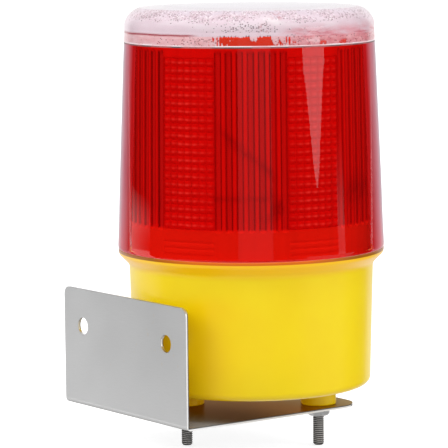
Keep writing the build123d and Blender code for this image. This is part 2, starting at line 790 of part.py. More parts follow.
# ---------------------------------------------------------------------- dome
dome_top = 147.65
dome_in_top = dome_top - 1.8
skirt_in_r = lens_r + 0.1          # skirt that sits in the cover's step
skirt_r = cover_step_r - 0.05
skirt_z = joint_z - joint_lap + 0.05
with BuildPart() as dome_cap:
    with BuildSketch(Plane.XZ):
        with BuildLine():          # (radius, z): outside to the top, inside back down
            Spline((joint_r, joint_z), (44.4, 137.4), (44.35, 140.0), (44.08, 142.17),
                   (42.81, 144.36), (40.78, 146.1), (38.68, 146.87),
                   tangents=((-0.02, 1.0), (-1.0, 0.12)))
            Spline((38.68, 146.87), (23.65, 147.37), (0, dome_top),
                   tangents=((-1.0, 0.05), (-1.0, 0.0)))
            Line((0, dome_top), (0, dome_in_top))
            Spline((0, dome_in_top), (23.6, 145.6), (36.8, 145.15),
                   tangents=((1.0, 0.0), (1.0, -0.06)))
            Spline((36.8, 145.15), (39.4, 144.55), (41.2, 143.3), (42.2, 141.6), (42.6, 139.4),
                   tangents=((1.0, -0.06), (0.1, -1.0)))
            Polyline((42.6, 139.4), (skirt_in_r, 138.6), (skirt_in_r, skirt_z),
                     (skirt_r, skirt_z), (skirt_r, joint_z), (joint_r, joint_z))
        make_face()
    revolve(axis=Axis.Z)
save(dome_cap, "dome_cap")

# ------------------------------------------------------------------ red lens
# sleeve with inward lugs that run in the neck's thread
lens_in_r = 41.25
lens_z0 = 62.0
lens_z1 = 138.3
lug_r = 39.85
lug_span = 14.0                    # degrees
lug_lead_in = 20.0                 # degrees past the ridge's start at rest
flute_r = 0.55
flute_z0 = 72.2
flute_len = 61.0

lens_lug = thread_tooth(
    radius=lug_r, start_z=ridge_z0 + thread_pitch / 2 + thread_lead * lug_lead_in / 360,
    turns=lug_span / 360, depth=lens_in_r - lug_r + 0.3, inner_half=0.2, outer_half=0.38)

with BuildPart() as red_lens:
    with BuildSketch(Plane.XZ):
        with BuildLine():
            Polyline((lens_in_r, lens_z0), (lens_r, lens_z0), (lens_r, lens_z1 - 0.5),
                     (lens_r - 0.5, lens_z1), (lens_in_r, lens_z1), (lens_in_r, lens_z0))
        make_face()
    revolve(axis=Axis.Z)
    # six sectors of seven vertical flutes, 5 degrees apart
    for i in range(6):
        sector_mid = sector_angle + 30 + 60 * i
        with BuildSketch(Plane.XY.offset(flute_z0)):
            with PolarLocations(lens_r + 0.1, 7, start_angle=sector_mid - 15,
                                angular_range=30, endpoint=True):
                Circle(flute_r)
        extrude(amount=flute_len, mode=Mode.SUBTRACT)
    for i in range(thread_starts):
        add(lens_lug.part,
            rotation=(0, 0, sector_angle + 360 / thread_starts * i + lug_lead_in))
save(red_lens, "red_lens")
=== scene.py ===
"""Red lamp on a steel bracket: a yellow cup holds a patterned red lens sleeve under a clear cover
and a misted clear dome, with two bolts below.

The lamp stands upright with its axis on Z. Meshes are laid out in millimetres and stored in
metres. The bolts reach below z = 0, and the floor lies just under their tips. Directions round
the lamp are degrees from +X; the camera stands at CAM_AZ, and larger angles are on its right.
"""
import json
import math
from functools import cached_property

import bmesh
import bpy
from mathutils import Matrix, Vector

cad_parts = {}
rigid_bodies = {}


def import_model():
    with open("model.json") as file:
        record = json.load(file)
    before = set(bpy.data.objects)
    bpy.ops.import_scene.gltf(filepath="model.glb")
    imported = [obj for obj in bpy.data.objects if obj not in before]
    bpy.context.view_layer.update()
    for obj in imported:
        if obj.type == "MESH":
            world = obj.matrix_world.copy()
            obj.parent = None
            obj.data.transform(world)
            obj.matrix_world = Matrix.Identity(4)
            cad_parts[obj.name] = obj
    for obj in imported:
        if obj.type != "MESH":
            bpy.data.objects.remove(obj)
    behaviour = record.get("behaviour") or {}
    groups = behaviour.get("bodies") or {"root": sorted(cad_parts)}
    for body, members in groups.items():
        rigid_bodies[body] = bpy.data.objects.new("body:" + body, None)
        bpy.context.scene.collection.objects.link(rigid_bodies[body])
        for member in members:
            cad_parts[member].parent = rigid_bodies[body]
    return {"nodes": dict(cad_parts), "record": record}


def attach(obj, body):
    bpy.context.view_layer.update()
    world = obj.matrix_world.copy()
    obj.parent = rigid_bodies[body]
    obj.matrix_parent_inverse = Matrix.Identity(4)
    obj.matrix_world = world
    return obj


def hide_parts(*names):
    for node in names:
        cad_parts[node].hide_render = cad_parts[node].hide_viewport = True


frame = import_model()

NODES = frame["nodes"]
for piece in list(bpy.data.objects):
    if piece.name not in NODES and not piece.name.startswith("body:"):
        bpy.data.objects.remove(piece, do_unlink=True)


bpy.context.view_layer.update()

# Millimetres and degrees
MM = 0.001
PER_M = 1000.0
DEGREES = 180.0 / math.pi
CAM_AZ = 143.1         # direction of the camera from the lamp's axis

SECTOR = 53.5          # middle of the first pillow-grid sector; they repeat every 60 degrees
RIB_MID = SECTOR + 30  # middle of the first ribbed sector
LENS_R, LENS_IN = 43.0, 41.25
FLUTE_STEP = 5.0       # degrees between flutes
FLUTE_HALF = 1.52      # degrees
FLUTE_DEEP = 0.62
FLUTE_Z0, FLUTE_Z1 = 72.4, 133.2
GRID_HALF = 13.1       # degrees
COLS, ROWS = 7, 21
GRID_Z0, GRID_Z1 = 72.0, 130.7
ROW_HEIGHT = (GRID_Z1 - GRID_Z0) / ROWS
PILLOW = 0.42

RIM_Z, JOINT_Z = 61.4, 134.8     # foot of the clear cover, joint between cover and dome

STUD_R = 23.7          # the two studs stand opposite each other on this radius
STUD_ANGLE = math.atan2(18.5, 14.85)
STUD_X, STUD_Y = STUD_R * math.cos(STUD_ANGLE), STUD_R * math.sin(STUD_ANGLE)
STUDS = [(STUD_X, STUD_Y), (-STUD_X, -STUD_Y)]
HEX_WIDTH = 7.0        # across the flats of bolt heads and nuts


# ------------------------------------------------------------------ meshes
def make_object(name, verts, faces, mats, body, face_mat=None, sharp=30.0):
    """Mesh object from millimetre vertices, smooth shaded with sharp edges past an angle."""
    mesh = bpy.data.meshes.new(name)
    mesh.from_pydata([(x * MM, y * MM, z * MM) for x, y, z in verts], [], faces)
    for mat in mats:
        mesh.materials.append(mat)
    if face_mat:
        mesh.polygons.foreach_set("material_index", face_mat)
    mesh.update()
    bm = bmesh.new()
    bm.from_mesh(mesh)
    bmesh.ops.recalc_face_normals(bm, faces=bm.faces)
    bm.to_mesh(mesh)
    bm.free()
    mesh.shade_smooth()
    mesh.set_sharp_from_angle(angle=math.radians(sharp))
    ob = bpy.data.objects.new(name, mesh)
    bpy.context.scene.collection.objects.link(ob)
    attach(ob, body)
    return ob


def lathe(name, loop, angles, mats, radius=None, face_mat=None, sharp=35.0):
    """Turns a closed (r, z) loop round Z, as part of the cover. radius(i, r, z, angle) may change
    a ring point's radius; face_mat(i) is the material index of the band from loop point i."""
    count = len(angles)
    verts, rings = [], []
    for i, (r, z) in enumerate(loop):
        on_axis = r < 1e-9
        rings.append((on_axis, len(verts)))
        if on_axis:
            verts.append((0.0, 0.0, z))
            continue
        for angle in angles:
            reach = radius(i, r, z, angle) if radius else r
            turn = math.radians(angle)
            verts.append((reach * math.cos(turn), reach * math.sin(turn), z))
    faces, indices = [], []
    for i in range(len(loop)):
        (point_a, a), (point_b, b) = rings[i], rings[(i + 1) % len(loop)]
        if point_a and point_b:
            continue
        for j in range(count):
            after = (j + 1) % count
            if point_a:
                faces.append((a, b + after, b + j))
            elif point_b:
                faces.append((a + j, a + after, b))
            else:
                faces.append((a + j, a + after, b + after, b + j))
            indices.append(face_mat(i) if face_mat else 0)
    return make_object(name, verts, faces, mats, "cover", indices, sharp)


def spline(points, steps):
    """Catmull-Rom line through (r, z) points."""
    line = []
    ends = [points[0]] + list(points) + [points[-1]]
    for i in range(1, len(ends) - 2):
        for step in range(steps):
            t = step / steps
            line.append(tuple(
                0.5 * (2 * b + (c - a) * t + (2 * a - 5 * b + 4 * c - d) * t * t
                       + (3 * b - a - 3 * c + d) * t ** 3)
                for a, b, c, d in zip(*ends[i - 1:i + 3])))
    line.append(points[-1])
    return line


# ----------------------------------------------------------- shader helpers
FALL = (1.0, 0.0)      # output range of a ramp that fades out


class Value:
    """Output of a shader node. Arithmetic on it adds Math nodes; value[key] is another output
    of the same node."""

    def __init__(self, mat, socket):
        self.mat = mat
        self.socket = socket

    def __getitem__(self, key):
        return Value(self.mat, self.socket.node.outputs[key])

    def __abs__(self):
        return self.math("ABSOLUTE")

    def math(self, operation, other=0.0):
        return self.mat.math(operation, self, other)

    def most(self, other):
        return self.math("MAXIMUM", other)

    def least(self, other):
        return self.math("MINIMUM", other)

    def clamped(self):
        """Limits this Math node's own result to 0..1."""
        self.socket.node.use_clamp = True
        return self

    def axes(self):
        split = self.mat.add("SeparateXYZ", self)
        return split, split[1], split[2]

    def stretch(self, scale, turn=(0, 0, 0)):
        return self.mat.add("Mapping", Vector=self, Scale=scale, Rotation=turn)

    def noise(self, scale, detail=3.0, rough=0.55):
        return self.mat.add("TexNoise", Vector=self, Scale=scale, Detail=detail, Roughness=rough)

    def ramp(self, start, end, to=(0.0, 1.0), smooth=False):
        """Goes from to[0] at start to to[1] at end, and stays level outside them."""
        return self.mat.add("MapRange", self, start, end, *to,
                            interpolation_type="SMOOTHSTEP" if smooth else "LINEAR")

    def bell(self, at, width):
        """Bell curve, 1 at its middle."""
        off = (self - at) / width
        return (off * off * -1.0).math("EXPONENT")

    def bump(self, distance, strength, **normal):
        return self.mat.add("Bump", Height=self, Distance=distance, Strength=strength, **normal)


# Python operators as Math nodes, with a number on either side
for symbol, kind in (("add", "ADD"), ("sub", "SUBTRACT"), ("mul", "MULTIPLY"),
                     ("truediv", "DIVIDE"), ("mod", "FLOORED_MODULO"),
                     ("lt", "LESS_THAN"), ("gt", "GREATER_THAN")):
    setattr(Value, f"__{symbol}__", lambda a, b, kind=kind: a.mat.math(kind, a, b))
    setattr(Value, f"__r{symbol}__", lambda a, b, kind=kind: a.mat.math(kind, b, a))


class Shader:
    """Node tree of a material or world."""

    def __init__(self, owner, output="OutputMaterial"):
        owner.use_nodes = True
        self.owner = owner
        self.tree = owner.node_tree
        self.tree.nodes.clear()
        self.output = self.tree.nodes.new("ShaderNode" + output)

    @cached_property
    def co(self):
        """Object coordinates, in metres."""
        return self.add("TexCoord")["Object"]

    def fill(self, socket, value):
        if isinstance(value, Value):
            self.tree.links.new(value.socket, socket)
        elif socket.type == "RGBA" and len(value) == 3:
            socket.default_value = (*value, 1.0)
        else:
            socket.default_value = value

    def add(self, kind, *inputs, **named):
        """Adds a node. Plain arguments fill its inputs in order, capitalised ones by name (with
        _ for a space), and lower-case ones set its properties."""
        node = self.tree.nodes.new("ShaderNode" + kind)
        for key, value in named.items():
            if key[0].islower():
                setattr(node, key, value)
        for i, value in enumerate(inputs):
            self.fill(node.inputs[i], value)
        for key, value in named.items():
            if key[0].isupper():
                self.fill(node.inputs[key.replace("_", " ")], value)
        return Value(self, node.outputs[0])

    def math(self, operation, a, b):
        return self.add("Math", a, b, 0.0, operation=operation)

    def mix(self, share, first, second, blend="MIX"):
        """Mixes two colours; share is the part of the second."""
        mixed = self.add("Mix", share, data_type="RGBA", blend_type=blend)[2]
        inputs = mixed.socket.node.inputs
        self.fill(inputs[6], first)
        self.fill(inputs[7], second)
        return mixed

    def times(self, first, second):
        return self.mix(1.0, first, second, "MULTIPLY")

    def blend(self, share, first, second):
        """Mixes two surfaces; share is the part of the second."""
        return self.add("MixShader", share, first, second)

    def diffuse(self, colour, **more):
        return self.add("BsdfDiffuse", Color=colour, **more)

    def translucent(self, colour, **more):
        return self.add("BsdfTranslucent", Color=colour, **more)

    def finish(self, surface):
        self.fill(self.output.inputs[0], surface)
        return self.owner


def material(name):
    return Shader(bpy.data.materials.new(name))


def grey(level):
    return (level, level, level)


def distance(x, y):
    return (x * x + y * y).math("SQRT")


def camera_turn(x, y):
    """Degrees round the axis from the camera's direction, -180 to 180."""
    turn = (y.math("ARCTAN2", x) - math.radians(CAM_AZ)) * DEGREES
    return (turn + 180.0) % 360.0 - 180.0


# ---------------------------------------------------------------- materials
def moulded(name, dark, light, rough, grain, depth, flow=0.0, recolour=None, **extra):
    """Moulded plastic or rubber: colour drift, fine skin, faint scuffs, paler worn edges.
    grain and depth are the skin's noise scale and height in metres, flow is the strength of
    upright flow lines, and extra holds more Principled inputs."""
    mat = material(name)
    drift = mat.co.noise(scale=28.0, detail=4.0)
    skin = mat.co.noise(scale=grain, detail=2.0)
    scuff = mat.co.stretch((1.0, 1.0, 14.0), turn=(0.3, 0.2, 0.4))
    scuff = scuff.noise(scale=160.0, detail=5.0, rough=0.7).ramp(0.62, 0.78, smooth=True)
    colour = mat.mix(drift.ramp(0.3, 0.7), dark, light)
    bevel = mat.add("Bevel", Radius=0.0004, samples=4)
    normal = mat.add("NewGeometry")["Normal"]
    flatness = mat.add("VectorMath", bevel, normal, operation="DOT_PRODUCT")["Value"]
    worn = tuple(min(1.0, c * 1.35 + 0.03) for c in light)
    colour = mat.mix(flatness.ramp(0.995, 0.90, to=(0.0, 0.22)), colour, worn)
    if recolour:
        colour = recolour(mat, colour)
    height = skin
    if flow:
        lines = mat.co.stretch((1.0, 1.0, 0.05)).noise(scale=60.0, detail=2.0)
        height = skin + lines * flow
    inputs = {
        "Base_Color": colour,
        "Roughness": (skin * 0.06 + (rough - 0.03) + scuff * 0.12).clamped(),
        "Specular_IOR_Level": 0.5,
        "Subsurface_Weight": 0.0,
        "Subsurface_Radius": (1.0, 0.5, 0.3),
        "Subsurface_Scale": 0.002,
        "Coat_Weight": 0.0,
        "Coat_Roughness": 0.06,
        "Normal": height.bump(depth, strength=0.6),
        **extra,
    }
    return mat.finish(mat.add("BsdfPrincipled", **inputs))


def yellow_painted_light(mat, colour):
    """Painted light on the cup's yellow: painted shade beside the upright leg and low on the
    camera's side, a painted orange glow of the red lens towards its rim, and painted shadow
    at the sides of the line under the rim.
    """
    x, y, z = mat.co.axes()
    height = z * PER_M
    turn = camera_turn(x, y)
    leg_shade = turn.bell(at=-20.0, width=15.0)     # painted shade and reflection of the upright leg
    leg_shade = leg_shade * height.ramp(52.0, 44.0, to=(0.0, 0.70), smooth=True)
    colour = mat.mix(leg_shade, colour, mat.times(colour, (1.0, 0.84, 0.1)))
    # painted shade low on the camera's side
    low = turn.bell(at=-2.0, width=30.0) * height.ramp(30.0, 12.0, to=(0.0, 0.75), smooth=True)
    colour = mat.mix(low, colour, mat.times(colour, (0.84, 0.87, 0.8)))
    # painted orange glow of the red lens towards the rim
    rim_glow = height.ramp(54.0, 58.0, to=(0.0, 0.8), smooth=True)
    colour = mat.mix(rim_glow, colour, (0.88, 0.49, 0.0015))
    # painted line under the rim: orange glow of the lens in front, painted shadow at the sides
    rim = mat.mix(abs(turn).ramp(24.0, 48.0), (0.46, 0.050, 0.001), (0.13, 0.014, 0.001))
    radius = distance(x, y) * PER_M
    outer_edge = height.ramp(60.15, 60.5, to=(0.0, 0.95), smooth=True) * radius.ramp(46.1, 46.7)
    return mat.mix(outer_edge, colour, rim)


def yellow_cup():
    return moulded(
        "yellow_gloss_moulding", (0.69, 0.530, 0.0005), (0.73, 0.605, 0.0005), rough=0.34,
        grain=1100.0, depth=0.000006, flow=0.6, recolour=yellow_painted_light,
        Specular_IOR_Level=0.34, Coat_Weight=0.30, Coat_Roughness=0.24,
        Subsurface_Weight=0.10, Subsurface_Radius=(1.0, 0.55, 0.08),
        # the orange emission is a painted glow that lifts the yellow's shadows towards orange
        Emission_Color=(1.0, 0.43, 0.0), Emission_Strength=0.15)


STAIN_TINT = (0.5, 0.42, 0.3)


def metal(name, colour, rough, stretch=(1.0, 60.0, 60.0), grain=260.0, depth=0.000004,
          aniso=0.0, finish=None):
    """Drawn or rolled metal: grain along one way, uneven polish, faint stains.
    finish(mat, grain, surface) may lay more over the bare surface."""
    mat = material(name)
    lines = mat.co.stretch(stretch).noise(scale=grain, rough=0.6)
    drift = mat.co.noise(scale=35.0, detail=4.0)
    spots = mat.co.noise(scale=420.0).ramp(0.66, 0.76, to=(0.0, 0.35), smooth=True)
    skin = mat.mix(lines.ramp(0.3, 0.7), tuple(v * 0.93 for v in colour), colour)
    stain = tuple(a * b * 2 for a, b in zip(colour, STAIN_TINT))
    skin = mat.mix(spots * drift.ramp(0.45, 0.7), skin, stain)
    roughness = (lines * 0.16 + (rough - 0.08) + drift * 0.08).clamped()
    bevel = mat.add("Bevel", Radius=0.00025, samples=6)
    surface = mat.add("BsdfPrincipled", Base_Color=skin, Metallic=1.0, Roughness=roughness,
                      Anisotropic=aniso, Normal=lines.bump(depth, strength=0.7, Normal=bevel))
    if finish:
        surface = finish(mat, lines, surface)
    return mat.finish(surface)


def plate_painted_light(mat, grain, surface):
    """Painted light on the bracket: a painted white highlight down its cut edges, painted shade
    under the bend, and painted shade with a painted reflection of the yellow cup on the base's
    upper face.
    """
    nx, ny, nz = mat.add("NewGeometry")["True Normal"].axes()
    x, y_m, z = mat.co.axes()
    y = y_m * PER_M

    # painted shade and a painted reflection of the yellow cup on the base's upper face, darkest
    # under the lamp, flat painted grey towards +Y
    upper = (nz > 0.9) * (z < 0.006)
    radius = distance(x, y_m) * PER_M
    upper = upper * radius.ramp(46.5, 56.0, to=(1.0, 0.12), smooth=True)
    across = x * -PER_M + grain * 6.0
    cup_reflection_shade = mat.mix(across.ramp(-8.0, 26.0), (0.235, 0.11, 0.034),
                   mat.mix(y.ramp(16.0, 0.0), (0.13, 0.075, 0.030), (0.34, 0.19, 0.06)))
    # the face's reflections are tinted to paint in the yellow cup's reflection
    cup_reflection_tint = mat.mix(y.ramp(18.0, -2.0), (0.62, 0.40, 0.17),
                    mat.mix(y.ramp(-6.0, -20.0), (1.0, 0.67, 0.33), (0.85, 0.78, 0.52)))
    cup_reflection_shade = mat.mix(grain.ramp(0.3, 0.7, to=(0.0, 0.25)), cup_reflection_shade, (0.20, 0.17, 0.13))
    dark = mat.add("BsdfPrincipled", Base_Color=cup_reflection_shade, Metallic=1.0, Roughness=0.38,
                   Specular_Tint=cup_reflection_tint)
    dull = mat.diffuse(mat.mix(grain, (0.20, 0.198, 0.197), (0.27, 0.266, 0.264)))
    dark = mat.blend(y.ramp(21.0, 38.0, to=(0.0, 0.90), smooth=True), dark, dull)
    surface = mat.blend(upper * 0.92, surface, dark)

    # painted shade on the downward side of the bend, near the leg
    dip = nz * -1.0
    bend = dip.ramp(0.06, 0.30) * (y > 42.0)
    bend_shade = mat.mix(grain, grey(0.50), grey(0.56))
    bend_shade = mat.diffuse(mat.mix(dip.ramp(0.70, 0.95), bend_shade, grey(0.20)))
    surface = mat.blend(bend * 0.9, surface, bend_shade)

    # cut edges facing +X and -X: a dark band with a painted white highlight along the middle;
    # inset is counted from two faces
    side = abs(nx) > 0.9
    inset = (46.9 - y).least(z * PER_M - 3.2)
    dark_cut_face = mat.add("BsdfPrincipled", Base_Color=mat.mix(grain, grey(0.06), grey(0.16)),
                   Metallic=0.6, Roughness=0.5)
    surface = mat.blend(side * 0.85, surface, dark_cut_face)
    highlight_core = side * inset.ramp(0.55, 0.75, to=FALL)
    white = mat.diffuse(mat.mix(grain, (0.92, 0.92, 0.93), grey(0.99)))
    return mat.blend(highlight_core * 0.80, surface, white)


def paled(mat, grain, surface):
    white = mat.diffuse(mat.mix(grain, (0.70, 0.70, 0.71), grey(0.88)))
    return mat.blend(0.62, surface, white)


def dark_threads_crest_glints(mat, grain, surface):
    """Dull dark threads with painted highlights on their crests below z = 0, strongest where they
    face the view.
    """
    dull = mat.diffuse(mat.mix(grain, (0.006, 0.005, 0.004), (0.035, 0.030, 0.025)))
    surface = mat.blend(0.78, surface, dull)
    x, y, z = mat.co.axes()
    first, second = [distance(x * PER_M - stud_x, y * PER_M - stud_y)
                     for stud_x, stud_y in STUDS]
    # painted highlights on the thread crests
    crest = first.least(second).ramp(1.84, 1.95) * (z < 0.0)
    facing = mat.add("LayerWeight", Blend=0.5)["Facing"].ramp(0.15, 0.85, to=(0.62, 0.15))
    return mat.blend(crest * facing, surface, mat.diffuse((0.82, 0.80, 0.78)))


def see_through_shadow(mat, solid, tint):
    """Lets lamps and sky light pass through, tinted, instead of casting a hard shadow."""
    path = mat.add("LightPath")
    passing = path["Is Shadow Ray"].most(path["Is Diffuse Ray"])
    return mat.finish(mat.blend(passing, solid, mat.add("BsdfTransparent", Color=tint)))


CLEAR_IOR = 1.57
CLEAR_SHADOW = (0.97, 0.93, 0.94)


def rippled_glass(mat, tint, rough=0.0, ior=CLEAR_IOR):
    """Tinted refraction with slow mould ripples and hairline scratches; gives also its normal."""
    ripple = mat.co.stretch((1.0, 1.0, 0.35)).noise(scale=45.0, detail=1.5)
    hair = mat.co.stretch((1.0, 1.0, 7.0), turn=(0.5, 0.3, 0.0))
    hair = hair.noise(scale=240.0, detail=6.0, rough=0.7).ramp(0.70, 0.74)
    normal = (ripple + hair * 0.02).bump(distance=0.00006, strength=0.35)
    glass = mat.add("BsdfGlass", Color=tint, Roughness=hair * 0.10 + rough, IOR=ior,
                    Normal=normal)
    return glass, normal


def cover_plastic():
    """Clear wall with a painted glow near its outline, standing in for red light carried sideways
    through the wall; its bore only refracts.
    """
    mat = material("clear_cover_plastic")
    tint = (0.985, 0.93, 0.94)
    glass, normal = rippled_glass(mat, tint)
    x, y, z = mat.co.axes()
    in_bore = distance(x, y) * PER_M < 43.85
    bore = mat.add("BsdfRefraction", Color=tint, Roughness=0.0, IOR=CLEAR_IOR, Normal=normal)
    facing = 1.0 - mat.add("LayerWeight", Blend=0.5)["Facing"]
    uneven = mat.co.stretch((1.0, 1.0, 0.2)).noise(scale=70.0)
    facing = facing + (uneven - 0.5) * 0.10
    # painted glow near the outline, from the outline inwards: bluish white, pink, deep red
    glow = mat.mix(facing.ramp(0.05, 0.22), (0.88, 0.92, 1.0), (0.84, 0.33, 0.41))
    glow = mat.mix(facing.ramp(0.22, 0.38), glow, (0.67, 0.015, 0.018))
    share = facing.ramp(0.415, 0.445, to=(0.80, 0.0), smooth=True) * (1.0 - in_bore)
    edge = mat.blend(0.5, mat.diffuse(glow), mat.translucent(glow))
    glass = mat.blend(share, glass, edge)
    return see_through_shadow(mat, mat.blend(in_bore, glass, bore), CLEAR_SHADOW)


def dome_plastic():
    mat = material("clear_dome_plastic")
    glass, _ = rippled_glass(mat, (0.985, 0.975, 0.98))
    return see_through_shadow(mat, glass, CLEAR_SHADOW)


def led_epoxy():
    mat = material("led_epoxy")
    tint = (0.96, 0.90, 0.90)
    glass, _ = rippled_glass(mat, tint, rough=0.02, ior=1.53)
    hazy = mat.blend(0.15, glass, mat.translucent(tint))
    return see_through_shadow(mat, hazy, (0.9, 0.85, 0.85))


def red_plastic():
    """Deep red moulding, part clear and part milky; painted dark lines and painted highlights on
    the lenslets follow the moulded pattern, with painted shadows of the parts inside and painted
    shade towards the outline."""
    mat = material("red_lens_plastic")
    co = mat.co
    x, y, z_m = co.axes()
    z = z_m * PER_M
    angle = y.math("ARCTAN2", x) * DEGREES

    def wrapped(middle, step):
        """Degrees from the nearest of the middles that repeat every step."""
        return (angle + (720.0 - middle + step / 2)) % step - step / 2

    rib, grid = wrapped(RIB_MID, 60.0), wrapped(SECTOR, 60.0)
    flute = wrapped(RIB_MID, FLUTE_STEP)
    turn = wrapped(CAM_AZ, 360.0)
    drift = co.noise(scale=24.0)
    fine = co.noise(scale=700.0, detail=2.0)
    streaks = co.stretch((1.0, 1.0, 0.04)).noise(scale=330.0, rough=0.6)

    # ribs: painted dark lines on both edges of each flute and painted shade in its middle, each a
    # little different
    in_rib = abs(rib).ramp(16.6, 16.9, to=FALL)
    on_height = z.ramp(71.6, 72.4) * z.ramp(132.4, 133.6, to=FALL)
    edge = abs(flute).bell(at=1.32, width=0.40)
    inner = flute.bell(at=0.0, width=1.20)
    half_step = ((angle + (1000.0 - RIB_MID)) / (FLUTE_STEP / 2)).math("FLOOR")
    each = mat.add("TexWhiteNoise", W=half_step, noise_dimensions="1D")["Value"]
    edge = edge * (0.62 + each * 0.42)
    line = edge * in_rib * on_height
    inner = inner * in_rib * on_height

    # grid: painted highlights on rows of lenslets, brightest near the middle, and painted dark
    # seams; column and row run 0..1 in each pillow
    in_grid = abs(grid).ramp(GRID_HALF - 0.1, GRID_HALF + 0.1, to=FALL) * (
        z.ramp(GRID_Z0 - 0.1, GRID_Z0 + 0.1) * z.ramp(GRID_Z1 - 0.1, GRID_Z1 + 0.1, to=FALL))
    column = ((grid + GRID_HALF) * (COLS / (2 * GRID_HALF))).math("FRACT")
    row = ((z - GRID_Z0) * (ROWS / (GRID_Z1 - GRID_Z0))).math("FRACT")
    wobble = (co.noise(scale=260.0, detail=2.0) - 0.5) * 0.25
    bright = (row + wobble).bell(at=0.5, width=0.13)
    bright = bright * (0.45 + column.bell(at=0.5, width=0.22) * 0.75)
    middle = grid.bell(at=-1.0, width=8.0)
    bright = bright * in_grid * (0.22 + middle * 0.95)
    bright = bright * co.noise(scale=130.0, detail=2.0).ramp(0.3, 0.7, to=(0.55, 1.15))
    seam_shade = column.bell(at=0.5, width=0.45).least(row.bell(at=0.5, width=0.45))
    seam_shade = (1.0 - seam_shade) * in_grid

    # colour: deep red, lighter at the foot and the top, then the pattern's painted shade and
    # highlights
    facing = mat.add("LayerWeight", Blend=0.5)["Facing"]
    base = mat.mix(drift, (0.80, 0.0025, 0.0012), (0.92, 0.006, 0.003))
    base = mat.mix(z.ramp(71.0, 72.6, to=FALL), base, (0.80, 0.014, 0.004))
    base = mat.mix(z.ramp(133.9, 134.9), base, (0.98, 0.055, 0.014))
    base = mat.mix(in_grid * 0.45, base, (0.72, 0.001, 0.001))
    base = mat.mix(seam_shade * 0.35, base, (0.58, 0.0005, 0.0005))
    base = mat.mix(inner * (0.30 + each * 0.35), base, (0.50, 0.010, 0.009))
    base = mat.mix(line * 0.90, base, (0.17, 0.0005, 0.0005))
    base = mat.mix((bright * 0.95).clamped(), base, (1.0, 0.042, 0.030))

    # painted shadows of the parts inside, on the camera's side: a slanted line, a level bar, a
    # lump, a patch at the right
    slant = z - (105.8 + (turn + 13.5) * -0.66)
    slant = slant + (co.noise(scale=90.0, detail=2.0) - 0.5) * 5.0
    slant = slant.bell(at=0.0, width=1.9) * (
        turn.ramp(-16.0, -12.0) * turn.ramp(9.0, 13.0, to=FALL))
    bar = z.bell(at=82.8, width=1.1) * (
        turn.ramp(-19.0, -15.0) * turn.ramp(8.0, 13.0, to=FALL))
    lump = turn.bell(at=11.0, width=6.5) * z.bell(at=79.5, width=4.6)
    lump = lump * co.noise(scale=180.0).ramp(0.40, 0.62)
    right_patch = turn.bell(at=58.0, width=11.0) * z.bell(at=84.0, width=5.0)
    inner_parts_shadow = (slant * 0.45).most(bar * 0.30)
    inner_parts_shadow = inner_parts_shadow.most((lump * 0.75).most(right_patch * 0.55))
    inner_parts_shadow = inner_parts_shadow * co.noise(scale=260.0).ramp(0.35, 0.6, to=(0.5, 1.0))
    base = mat.mix(inner_parts_shadow, base, (0.22, 0.001, 0.002))

    # painted shade towards the outline and painted light low on the left, with random streaks
    shade = facing.ramp(0.20, 0.90, to=(1.0, 0.56), smooth=True) + (streaks - 0.5) * 0.35
    low_left_light = turn.bell(at=-60.0, width=24.0) * z.ramp(80.0, 71.0, smooth=True)
    shade = (shade + low_left_light * 0.42).clamped()
    base = mat.times(base, mat.add("CombineXYZ", shade, shade, shade))

    # the glass is darkened along the painted dark flute lines as well
    tint = mat.mix(line * 0.8, (0.93, 0.030, 0.022), (0.45, 0.004, 0.004))
    normal = fine.bump(distance=0.00001, strength=0.3)
    glass = mat.add("BsdfGlass", Color=tint, Roughness=0.05, IOR=1.40, Normal=normal)
    milky = mat.blend(0.30, mat.diffuse(base, Normal=normal),
                      mat.translucent(base, Normal=normal))
    return see_through_shadow(mat, mat.blend(0.74, glass, milky), (0.78, 0.035, 0.025))


